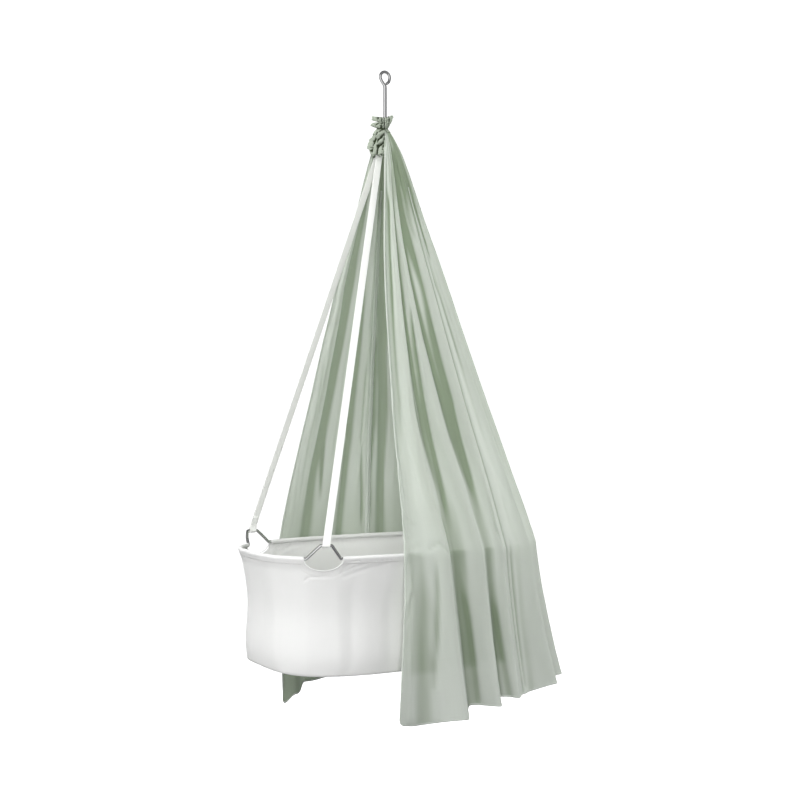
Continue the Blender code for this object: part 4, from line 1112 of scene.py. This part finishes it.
def heading_skirt(angle, here, loose, bulge):
    """Heights and radii below the pinch, from the bottom up."""
    below = np.linspace(1.0, 0.0, SKIRT_ROWS)[:, None]
    level = PINCH_Z + (here.bottom_z - PINCH_Z) * below + SKIRT_WAVE * loose * below * np.sin(13 * angle)
    top_radius = PINCH_RADIUS + bulge
    radius = top_radius + (here.bottom_radius - top_radius) * below ** here.spread
    radius += loose * tongue_creases(angle, level, radius) * smooth_step(0.0, 0.25, below)
    ripple = np.abs(np.sin(7.0 * angle + 60 * level)) ** 0.7 - 0.6
    radius += loose * SKIRT_RIPPLE * smooth_step(0.0, 0.3, below) * ripple
    radius -= loose * SKIRT_TUCK * smooth_step(0.90, 1.0, below)
    radius += (1 - loose) * gathers(angle, level)
    return level, radius


def heading_bunch(angle, here, bulge):
    """Heights and radii above the pinch, up to the lip that turns in at the top."""
    above = np.linspace(0.0, 1.0, BUNCH_ROWS)[1:, None]
    wave = sum(height * np.sin(times * angle + start) for times, height, start in TOP_WAVES)
    level = PINCH_Z + (here.top_z + wave - PINCH_Z) * above
    radius = smooth_curve(*zip(*BUNCH_RADIUS), level)
    radius = radius + bulge * (1 - smooth_step(PINCH_Z, PINCH_Z + BULGE_RISE, level))
    for fin in FINS:
        reach = smooth_curve(*zip(*fin.reaches), level)
        radius = radius + reach * bell(bearing_gap(angle, fin.degrees), fin.half_width)
    radius += BUNCH_PLEATS * smooth_step(0.05, 0.4, above) * np.sin(31 * angle + 260 * level)
    rise, share, inward = np.array(HEADING_LIP).T[..., None]
    return np.concatenate((level, level[-1:] + rise)), np.concatenate((radius, radius[-1:] * share - inward))


def heading_shade(radius, level, bulge):
    """Painted shade: how deep each point lies between folds and crumples, and in the pinch."""
    strength, depth, columns, rows = CLOSE_HOLLOW
    close = box_mean(box_mean(radius, columns, wrap=True).T, rows).T
    shade = strength * smooth_step(-0.3, 1.0, (close - radius) / depth)
    strength, depth, columns = WIDE_HOLLOW
    shade = shade + strength * smooth_step(0.0, 1.0, (box_mean(radius, columns, wrap=True) - radius) / depth)
    shade = shade + PINCH_SHADE * bell(level - PINCH_Z, PINCH_HALF_HEIGHT) * (1 - bulge / PINCH_BULGE)
    return np.clip(shade, 0.0, 1.0)


def heading_piece(name):
    """The gathered end of the cloth: a skirt with a loose tongue, a pinch round the rod, folds above it."""
    degrees = np.linspace(0.0, 360.0, HEADING_COLUMNS, endpoint=False)
    table = np.array(HEADING[-2:] + HEADING + HEADING[:2])
    table[:2, 0] -= 360.0
    table[-2:, 0] += 360.0
    here = HeadingRow(*(smooth_curve(table[:, 0], kind, degrees)[None, :] for kind in table.T))
    angle = np.radians(degrees)[None, :]
    loose = smooth_step(*TONGUE_START, degrees) * (1 - smooth_step(*TONGUE_END, degrees))
    bulge = PINCH_BULGE * bell(bearing_gap(angle, PINCH_BULGE_DEGREES), PINCH_BULGE_HALF_WIDTH)
    skirt, bunch = heading_skirt(angle, here, loose, bulge), heading_bunch(angle, here, bulge)
    level, radius = (np.concatenate(both) for both in zip(skirt, bunch))
    crumpled = np.where(level > PINCH_Z, 1.0, loose) * smooth_step(0.0, 0.012, np.abs(level - PINCH_Z))
    radius = np.maximum(radius + crumpled * crumples(angle, level), ROD_RADIUS + LEAST_ROD_GAP)
    points = np.stack((radius * np.cos(angle), radius * np.sin(angle), level), axis=-1)
    weave = np.stack(np.broadcast_arrays(angle * TUBE_WEAVE_WIDTH, -level), axis=-1)
    sheet = Cloth()
    sheet.grid(points, weave, wrap=True, shade=heading_shade(radius, level, bulge))
    solid = thickened(sheet.mesh(name + "_sheet"), HEADING_CLOTH)
    return joined(name, (solid,), (SHADED_GATHERED_COTTON, GREEN_THREAD))


# ---------------------------------------------------------------- rim, straps and rod
def peak_girth(peak):
    return peak.side * (RIM.half_girth - PEAK_GIRTH if peak.at_foot else PEAK_GIRTH)


def peak_point(peak, offset):
    """Centre line of the rod at a distance along the rim from the middle of a peak."""
    rise = min(max((PEAK_HALF_BASE - abs(offset)) / (PEAK_HALF_BASE - PEAK_HALF_TOP), 0.0), 1.0)
    middle = peak_girth(peak) - peak.side * rise * peak.shift_to_head
    x, y = RIM.point(middle + offset * (1 - rise))
    out_x, out_y = RIM.outward(middle)
    lean = rise * peak.lean_out
    along = Vector((float(-out_y), float(out_x), 0.0)) * offset * rise
    along.rotate(Matrix.Rotation(math.radians(peak.turn_degrees), 3, "Z"))
    return along + Vector((float(x + out_x * lean), float(y + out_y * lean), RIM_Z + rise * PEAK_HEIGHT))


def run_to_next_peak(index, margin):
    """Where the run of rim after a peak starts and ends, with a margin from both peaks' middles."""
    start = peak_girth(PEAKS[index]) + margin
    end = peak_girth(PEAKS[(index + 1) % len(PEAKS)]) - margin
    if end < start:
        end += 2 * RIM.half_girth
    return start, end


def rim_path():
    """The rod's centre line: each peak with its bends, then the run of rim after it."""
    points = []
    for index, peak in enumerate(PEAKS):
        for offset in (*(-bend for bend in PEAK_BENDS), 0.0, *reversed(PEAK_BENDS)):
            points.append(tuple(peak_point(peak, offset)))
        start, end = run_to_next_peak(index, RIM_RUN_MARGIN)
        girths = np.linspace(start, end, int((end - start) / RIM_STEP))
        points += RIM.beside(girths, 0.0, RIM_Z).tolist()
    return rounded_path(points, 2, closed=True)


def rim_rod_piece():
    steel = Cloth()
    tube(steel, rim_path(), RIM_ROD_RADIUS, sides=18, closed=True)
    return joined("rim_bar", (steel.mesh("rim_bar"),), (STEEL,))


def eye_path():
    """The eye's centre line, from the rod's end round and back to its own start."""
    half_height = EYE_CENTRE_DROP + EYE_WIRE_RADIUS
    points = [(0.0, 0.0, EYE_NECK_Z - 0.012)]
    points += [(across, 0.0, EYE_NECK_Z + above) for across, above in EYE_START]
    for angle in np.radians(range(205, -21, -15)):
        height = half_height * math.sin(angle) - EYE_CENTRE_DROP
        points.append((EYE_HALF_WIDTH * math.cos(angle), 0.0, height))
    points += [(across, 0.0, EYE_NECK_Z + above) for across, above in EYE_END]
    return rounded_path(points, 2)


def hanging_rod_piece():
    """The rod with its eye, and the crossbar with a collar at each end."""
    straight = [(0.0, 0.0, z) for z in np.linspace(CROSSBAR_Z, EYE_NECK_Z - 0.014, ROD_RINGS)]
    path = np.concatenate((straight, eye_path()))
    radii = np.where(path[:, 2] > EYE_NECK_Z + 0.001, EYE_WIRE_RADIUS, ROD_RADIUS)
    radii[:ROD_RINGS] = ROD_RADIUS
    soft = np.convolve(np.pad(radii, 2, mode="edge"), np.ones(5) / 5, mode="valid")
    steel = Cloth()
    tube(steel, path, soft, sides=24)
    inner = CROSSBAR_HALF_LENGTH - CROSSBAR_END_LENGTH
    bar = [(x, 0.0, CROSSBAR_Z) for x in np.linspace(-inner, inner, 12)]
    tube(steel, bar, CROSSBAR_RADIUS, sides=20)
    for side in (-1, 1):
        collar = [(side * x, 0.0, CROSSBAR_Z) for x in (inner - 0.0004, CROSSBAR_HALF_LENGTH - 0.0009)]
        tube(steel, collar, CROSSBAR_END_RADIUS - 0.0004, sides=20)
    return joined("hanging_bar", (steel.mesh("hanging_bar"),), (STEEL,))


def strap_side(peak, bar_x):
    """One run of a sling: from the top of the crossbar down one side to its peak, and the loop round it."""
    top_ends = (peak_point(peak, -PEAK_HALF_TOP), peak_point(peak, PEAK_HALF_TOP))
    top_mid = (top_ends[0] + top_ends[1]) / 2
    along = (top_ends[1] - top_ends[0]).normalized()
    if along.x < 0:
        along = -along
    bar_wrap = CROSSBAR_RADIUS + STRAP_WRAP_GAP + STRAP_CLOTH / 2
    loop_wrap = RIM_ROD_RADIUS + STRAP_WRAP_GAP + STRAP_CLOTH / 2
    across = Vector((1.0, 0.0, 0.0))
    rows = []
    for degrees in range(90, -1, -10):
        angle = math.radians(degrees)
        round_bar = Vector((0.0, peak.side * math.cos(angle), math.sin(angle))) * bar_wrap
        rows.append((Vector((bar_x, 0.0, CROSSBAR_Z)) + round_bar, across))
    start = Vector((bar_x, peak.side * (bar_wrap + 0.0006), CROSSBAR_Z - STRAP_SETTLE))
    run = (top_mid - start).normalized()
    out = along.cross(run)
    if out.dot(Vector((top_mid.x, top_mid.y, 0.0))) < 0:
        out = -out
    landing = top_mid + out * loop_wrap
    for share in np.linspace(0.0, 0.985, 90):
        turn = min(share / 0.8, 1.0)
        rows.append((start.lerp(landing, share), across.lerp(along, turn).normalized()))
    for degrees in range(0, 181, 12):
        angle = math.radians(degrees)
        rows.append((top_mid + (out * math.cos(angle) + run * math.sin(angle)) * loop_wrap, along))
    behind = top_mid + out * (loop_wrap - STRAP_CLOTH - 0.0003)
    rows.append((top_mid - out * loop_wrap * 0.8 - run * STRAP_STITCH * 0.3, along))
    for share in np.linspace(0.0, 1.0, 12):
        rows.append((behind - run * (STRAP_STITCH + STRAP_TAIL * share), along))
    return rows, landing, run, out, along


def strap_piece(name, near_peak, far_peak, bar_x):
    """A sling of webbing with thin selvedges, and a sewn box where each end is turned back on itself."""
    near, far = strap_side(near_peak, bar_x), strap_side(far_peak, bar_x)
    rows = near[0][::-1] + far[0][1:]
    centres, across = (np.array(column) for column in zip(*rows))
    normal = unit(np.cross(across, unit(np.gradient(centres, axis=0))))
    half, thick = STRAP_WIDTH / 2, STRAP_CLOTH / 2
    section = [(-share, up) for share, up in STRAP_SECTION]
    section += [(-share, up) for share, up in section[-2::-1]]
    section += [(share, -up) for share, up in reversed(section[1:-1])]
    points = np.stack([centres + across * share * half + normal * up * thick
                       for share, up in section], axis=1)
    width = np.array([share * half for share, _ in section])
    webbing = Cloth()
    weave = np.stack(np.broadcast_arrays(width[None, :], length_along(centres)[:, None]), axis=-1)
    webbing.grid(points, weave, wrap=True)
    for end in (0, -1):
        webbing.grid(np.stack((points[end], np.tile(centres[end], (len(section), 1)))), (0.0, 0.0), wrap=True)
    for _, landing, run, out, along in (near, far):
        centre = landing - run * (STRAP_STITCH + STRAP_TAIL * STITCH_BOX_DOWN) + out * (thick + 0.00005)
        side, up = along * half * STITCH_BOX_WIDTH, run * STRAP_TAIL * STITCH_BOX_HEIGHT
        corners = [centre + side * a + up * b for a, b in ((-1, -1), (1, -1), (1, 1), (-1, 1), (-1, -1))]
        for path in (corners, corners[:3:2], corners[1:4:2]):
            fine = resampled(path, 0.0008)
            stitches(webbing, fine, np.tile(np.array(out), (len(fine), 1)))
    return joined(name, (webbing.mesh(name),), (WEBBING, WHITE_THREAD))


# ---------------------------------------------------------------- basket
def scoop_offset(girth):
    """Distance along the rim from the nearest peak's middle."""
    best = np.full(np.shape(girth), np.inf)
    for peak in PEAKS:
        offset = RIM.wrapped(np.asarray(girth) - peak_girth(peak))
        best = np.where(np.abs(offset) < np.abs(best), offset, best)
    return best


def scoop_drop(girth):
    share = np.abs(scoop_offset(girth)) / SCOOP_HALF_WIDTH
    return np.where(share < 0.9995, SCOOP_DEPTH * np.sqrt(np.clip(1 - share ** 2, 0.0, 1.0)), 0.0)


def wall_girths():
    """Girths of the wall's columns, finest at the ends of each scoop."""
    girths = []
    for index, peak in enumerate(PEAKS):
        across = np.sin(np.linspace(-math.pi / 2, math.pi / 2, SCOOP_COLUMNS))
        girths += list(peak_girth(peak) + SCOOP_HALF_WIDTH * across)
        start, end = run_to_next_peak(index, SCOOP_HALF_WIDTH)
        girths += list(np.linspace(start, end, int((end - start) / WALL_STEP) + 2)[1:-1])
    return np.array(girths)


def wall_relief(girth, share, below):
    """How far the wall stands out or in: folds, puckers under the casing, its stitch line, scoop creases."""
    push = np.zeros_like(girth)
    for fold in WALL_FOLDS:
        away = RIM.wrapped(girth - fold.girth - fold.lean * share)
        run = smooth_step(fold.start - 0.12, fold.start + 0.15, share)
        run = run * (1 - smooth_step(fold.end - 0.1, 1.02, share))
        push += WALL_FOLD_SHARE * fold.depth * bell(away, fold.half_width) * run
    fine = np.sin(2 * math.pi * girth / PUCKER_SPACING + 2.2 * np.sin(girth * 31))
    fine = fine * (0.55 + 0.45 * np.sin(girth * 47 + 1.0))
    push += PUCKER * fine * bell(below, PUCKER_REACH) * (1 - bell(below, 0.004))
    push -= CASING_STITCH_DEPTH * bell(below - CASING_STITCH_DROP, 0.0018)
    for peak in PEAKS:
        along = peak.side * (girth - peak_girth(peak))
        for crease in SCOOP_CREASES:
            push += crease.depth * bell(gap_to_line(along, below, crease.points), crease.half_width)
    return push


def wall_section(girths):
    """How far out of the rim's centre line and how high each row of the wall is, up to the casing."""
    bottom = BASKET_BOTTOM_Z - BASKET_SIDE_SAG * np.abs(RIM.outward(girths)[1])
    top = RIM_Z - scoop_drop(girths)
    share = np.concatenate((np.linspace(1.0, 0.2, 34), np.linspace(0.2, 0.0, 22)[1:]))[:, None]
    level = top + (bottom - top) * share
    down = (RIM_Z - level) / (RIM_Z - bottom)
    push = wall_relief(girths + np.zeros_like(level), down, RIM_Z - level)
    reach = np.abs(scoop_offset(girths)) / (SCOOP_HALF_WIDTH + FACING_DEPTH)
    seam_level = RIM_Z - (SCOOP_DEPTH + FACING_DEPTH) * np.sqrt(np.clip(1 - reach ** 2, 0.0, 1.0))
    facing = np.where(reach < 1, bell(level - seam_level, FACING_SEAM_WIDTH), 0.0)
    push -= FACING_SEAM_DEPTH * facing * smooth_step(1.0, 0.98, reach)
    push *= 1 - smooth_step(0.93, 1.0, share)
    offset = CASING_RADIUS - smooth_curve(*zip(*WALL_PROFILE), down) + push
    seam_in, seam_up = np.array(FLOOR_SEAM).T[..., None]
    seam_offset = CASING_RADIUS - WALL_PROFILE[-1][1] - seam_in + np.zeros_like(bottom)
    return np.concatenate((seam_offset, offset[1:])), np.concatenate((bottom + seam_up, level[1:]))


def casing_section(girths):
    """How far out and how high the casing's rows are, over the rim rod and down its inner side to the hem."""
    ripple = 1 + CASING_RIPPLE * np.sin(girths * 90 + 2 * np.sin(girths * 23))
    turn = np.radians(np.arange(18, 271, 18))[:, None]
    fall = np.linspace(0.0, 1.0, 4)[:, None] + np.zeros_like(girths)
    offsets = CASING_RADIUS * ripple * np.cos(turn), CASING_RADIUS - CASING_HEM_IN - CASING_HEM_LEAN * fall
    hem = -CASING_RADIUS - CASING_HEM_DROP - CASING_HEM_LENGTH * fall
    levels = CASING_RADIUS * ripple * np.sin(turn), hem
    return np.concatenate(offsets), RIM_Z + np.concatenate(levels)


def basket_wall_piece(name):
    """The basket's wall: casing over the rim, scoops with facings, soft folds and the seam at the floor."""
    girths = wall_girths()
    wall, casing = wall_section(girths), casing_section(girths)
    offsets, levels = (np.concatenate(both) for both in zip(wall, casing))
    in_scoop = scoop_drop(girths) > 0
    keep = np.ones((len(offsets) - 1, len(girths)), dtype=bool)
    keep[len(wall[0]) - 1:, in_scoop | np.roll(in_scoop, -1)] = False
    sheet = Cloth()
    weave = np.stack(np.broadcast_arrays(girths[None, :], -levels), axis=-1)
    sheet.grid(RIM.beside(girths, offsets, levels), weave, wrap=True, keep=keep)
    trim = Cloth()
    for index, peak in enumerate(PEAKS):
        run = np.linspace(*run_to_next_peak(index, SCOOP_HALF_WIDTH + 0.001), 160)
        out = CASING_RADIUS - 0.0019 + BASKET_CLOTH / 2
        stitches(trim, RIM.beside(run, out, RIM_Z - CASING_STITCH_DROP), RIM.side(run))
        edge = peak_girth(peak) + SCOOP_HALF_WIDTH * np.sin(np.linspace(-1.54, 1.54, 60))
        lip = RIM.beside(edge, CASING_RADIUS - 0.0002, RIM_Z - scoop_drop(edge))
        tube(trim, rounded_path(lip, 1), SCOOP_BINDING_RADIUS, sides=10)
    solid = thickened(sheet.mesh(name + "_sheet"), BASKET_CLOTH)
    return joined(name, (solid, trim.mesh(name + "_trim")), (WHITE_COTTON, WHITE_THREAD))


def basket_floor_piece(name):
    """The floor: a soft sheet that lies on the wall's turned-in seam allowance."""
    girths = np.linspace(-RIM.half_girth, RIM.half_girth, 361)[:-1]
    edge = RIM.beside(girths, CASING_RADIUS - WALL_PROFILE[-1][1] - SEAM_ALLOWANCE / 2, 0.0)[:, :2]
    bottom = BASKET_BOTTOM_Z - BASKET_SIDE_SAG * np.abs(RIM.outward(girths)[1])
    share = np.concatenate((np.linspace(0.02, 0.9, 40), np.linspace(0.9, 1.0, 12)[1:]))[:, None]
    middle = BASKET_BOTTOM_Z - FLOOR_SAG
    plan = edge * share[..., None]
    soft = FLOOR_SWELL * soft_unevenness(plan[..., 0], plan[..., 1], 5) * (1 - smooth_step(0.9, 1.0, share))
    level = middle + (bottom - middle) * smooth_step(0.72, 1.0, share) + FLOOR_ABOVE_SEAM + soft
    points = np.concatenate((plan, level[..., None]), axis=-1)
    sheet = Cloth()
    sheet.grid(points, plan, wrap=True)
    centre = np.stack((points[0], np.tile(points[0].mean(axis=0), (len(girths), 1))))
    sheet.grid(centre, centre[..., :2], wrap=True)
    shape = bmesh.new()
    shape.from_mesh(sheet.mesh(name + "_flat"))
    bmesh.ops.remove_doubles(shape, verts=shape.verts, dist=0.00002)
    welded = bpy.data.meshes.new(name + "_sheet")
    shape.to_mesh(welded)
    shape.free()
    return joined(name, (thickened(welded, BASKET_CLOTH),), (WHITE_COTTON, WHITE_THREAD))


# ---------------------------------------------------------------- room
def at_bearing(degrees, distance, height):
    """A place round the object, with bearing 0 on the near side and positive to the right."""
    bearing = math.radians(degrees)
    return Vector((math.sin(bearing) * distance, -math.cos(bearing) * distance, height))


def aim(thing, axis, height):
    """Turn a thing so that one of its axes points at the rod's axis at a height."""
    toward = Vector((0.0, 0.0, height)) - thing.location
    thing.rotation_euler = toward.to_track_quat(axis, "Y").to_euler()


def make_camera():
    data = bpy.data.cameras.new("camera")
    data.sensor_fit = "HORIZONTAL"
    data.sensor_width = CAMERA_SENSOR
    data.lens = CAMERA_LENS
    data.clip_end = 60.0
    camera = link("camera", data)
    camera.location = at_bearing(CAMERA_AZIMUTH, CAMERA_DISTANCE, CAMERA_Z)
    aim(camera, "-Z", CAMERA_Z)
    camera.location += at_bearing(CAMERA_AZIMUTH + 90.0, AXIS_LEFT_OF_CENTRE, 0.0)
    bpy.context.scene.camera = camera


def area_light(name, azimuth, height, distance, width, tall, power):
    """A soft box at a bearing round the object, aimed at its axis."""
    data = bpy.data.lights.new(name, "AREA")
    data.shape = "RECTANGLE"
    data.size = width
    data.size_y = tall
    data.energy = power
    light = link(name, data)
    light.location = at_bearing(azimuth, distance, height)
    aim(light, "-Z", SOFT_BOX_AIM_Z)
    light.visible_camera = False
    light.visible_glossy = False


def unseen_by(thing, rays):
    for kind in rays:
        setattr(thing, "visible_" + kind, False)


def reflected_card(name, azimuth, wide, tall, glow):
    """A tall card at a bearing round the object that only the steel's reflections see."""
    bpy.ops.mesh.primitive_plane_add(size=1.0)
    card = bpy.context.object
    card.name = name
    card.scale = (wide, tall, 1.0)
    card.location = at_bearing(azimuth, CARD_DISTANCE, CAMERA_Z)
    aim(card, "Z", CAMERA_Z)
    card.data.materials.append(plain_material(name, (0.0, 0.0, 0.0), 1.0, glow, light=(1.0, 1.0, 1.0)))
    unseen_by(card, ("camera", "diffuse", "transmission", "shadow", "volume_scatter"))
    return card


def make_room():
    """A pale floor, and a plain white backdrop all round that lights nothing itself."""
    middle = (0, 0, FLOOR_Z)
    bpy.ops.mesh.primitive_circle_add(vertices=96, radius=ROOM_RADIUS, fill_type="NGON", location=middle)
    floor = bpy.context.object
    floor.name = "floor"
    floor.data.materials.append(plain_material("pale floor", (0.92, 0.92, 0.92), 0.9, 1.2))
    unseen_by(floor, ("diffuse", "glossy", "transmission"))
    bpy.ops.mesh.primitive_uv_sphere_add(segments=64, ring_count=32, radius=BACKDROP_RADIUS, location=middle)
    backdrop = bpy.context.object
    backdrop.name = "backdrop"
    backdrop.data.materials.append(plain_material("backdrop", (1.0, 1.0, 1.0), 1.0, 1.0))
    unseen_by(backdrop, ("diffuse", "glossy", "transmission", "shadow"))
    backdrop.data.shade_smooth()
    for card in REFLECTED_CARDS:
        reflected_card(*card)
    for box in SOFT_BOXES:
        area_light(*box)
    world = bpy.data.worlds.new("studio")
    world.use_nodes = True
    world.node_tree.nodes["Background"].inputs[0].default_value = (0.96, 0.98, 1.0, 1.0)
    world.node_tree.nodes["Background"].inputs[1].default_value = WORLD_GLOW
    bpy.context.scene.world = world
    bpy.context.scene.view_settings.view_transform = "Standard"


# ---------------------------------------------------------------- the object
# The canopy's green cotton, whose painted shade colour darkens its folds and other shaded places.
GREEN_COTTON = cloth_material("green cotton", (0.885, 0.915, 0.880), (0.848, 0.880, 0.832),
                              0.52, 0.12, 0.0006, 0.35, painted_shade_colour=(0.435, 0.500, 0.385))
# The heading's green cotton, made much darker than the canopy's as painted shade, with a painted shade colour
# near black for its hollows.
SHADED_GATHERED_COTTON = cloth_material("gathered green cotton in painted shade", (0.45, 0.495, 0.42), (0.36, 0.415, 0.325),
                                 0.22, 0.0, 0.0006, 0.35, painted_shade_colour=(0.07, 0.09, 0.05))
GREEN_THREAD = cloth_material("green thread", (0.66, 0.72, 0.62), (0.60, 0.66, 0.56), 0.2, 0.0, 0.0004, 0.3)
WHITE_COTTON = cloth_material("white cotton", (0.882, 0.882, 0.872), (0.856, 0.856, 0.846),
                              0.22, 0.0, 0.0007, 0.35)
WHITE_THREAD = cloth_material("white thread", (0.86, 0.86, 0.85), (0.82, 0.82, 0.81), 0.1, 0.0, 0.0004, 0.3)
WEBBING = cloth_material("white webbing", (0.93, 0.94, 0.91), (0.90, 0.91, 0.88), 0.10, 0.0, 0.0014, 0.6)
STEEL = steel_material("polished steel")


def place(piece, node, slot):
    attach(piece, ROOT)
    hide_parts(node)


def sheet_piece(piece, node, slot):
    place(piece, node, slot)


def build():
    make_camera()
    make_room()
    peaks = {peak.name: peak for peak in PEAKS}
    place(hanging_rod_piece(), "hanging_rod", "polished_steel")
    place(rim_rod_piece(), "rim_rod", "polished_steel")
    foot = strap_piece("foot_sling", peaks["near_foot"], peaks["far_foot"], -STRAP_ON_BAR)
    head = strap_piece("head_sling", peaks["near_head"], peaks["far_head"], STRAP_ON_BAR)
    sheet_piece(foot, "foot_strap", "white_webbing")
    sheet_piece(head, "head_strap", "white_webbing")
    sheet_piece(basket_wall_piece("basket_side"), "basket_wall", "white_cotton")
    sheet_piece(basket_floor_piece("basket_base"), "basket_floor", "white_cotton")
    near = panel_piece("near_gore", NEAR_PANEL_LINES, NEAR_CREASES, 20, False, True, seed=11)
    back = panel_piece("back_gore", BACK_PANEL_LINES, BACK_CREASES, 10, True, True, seed=12)
    far = panel_piece("far_gore", FAR_PANEL_LINES, FAR_CREASES, 20, True, False, seed=13)
    sheet_piece(near, "canopy_near_panel", "green_cotton")
    sheet_piece(back, "canopy_back_panel", "green_cotton")
    sheet_piece(far, "canopy_far_panel", "green_cotton")
    sheet_piece(heading_piece("gathered_top"), "canopy_heading", "green_cotton")


build()
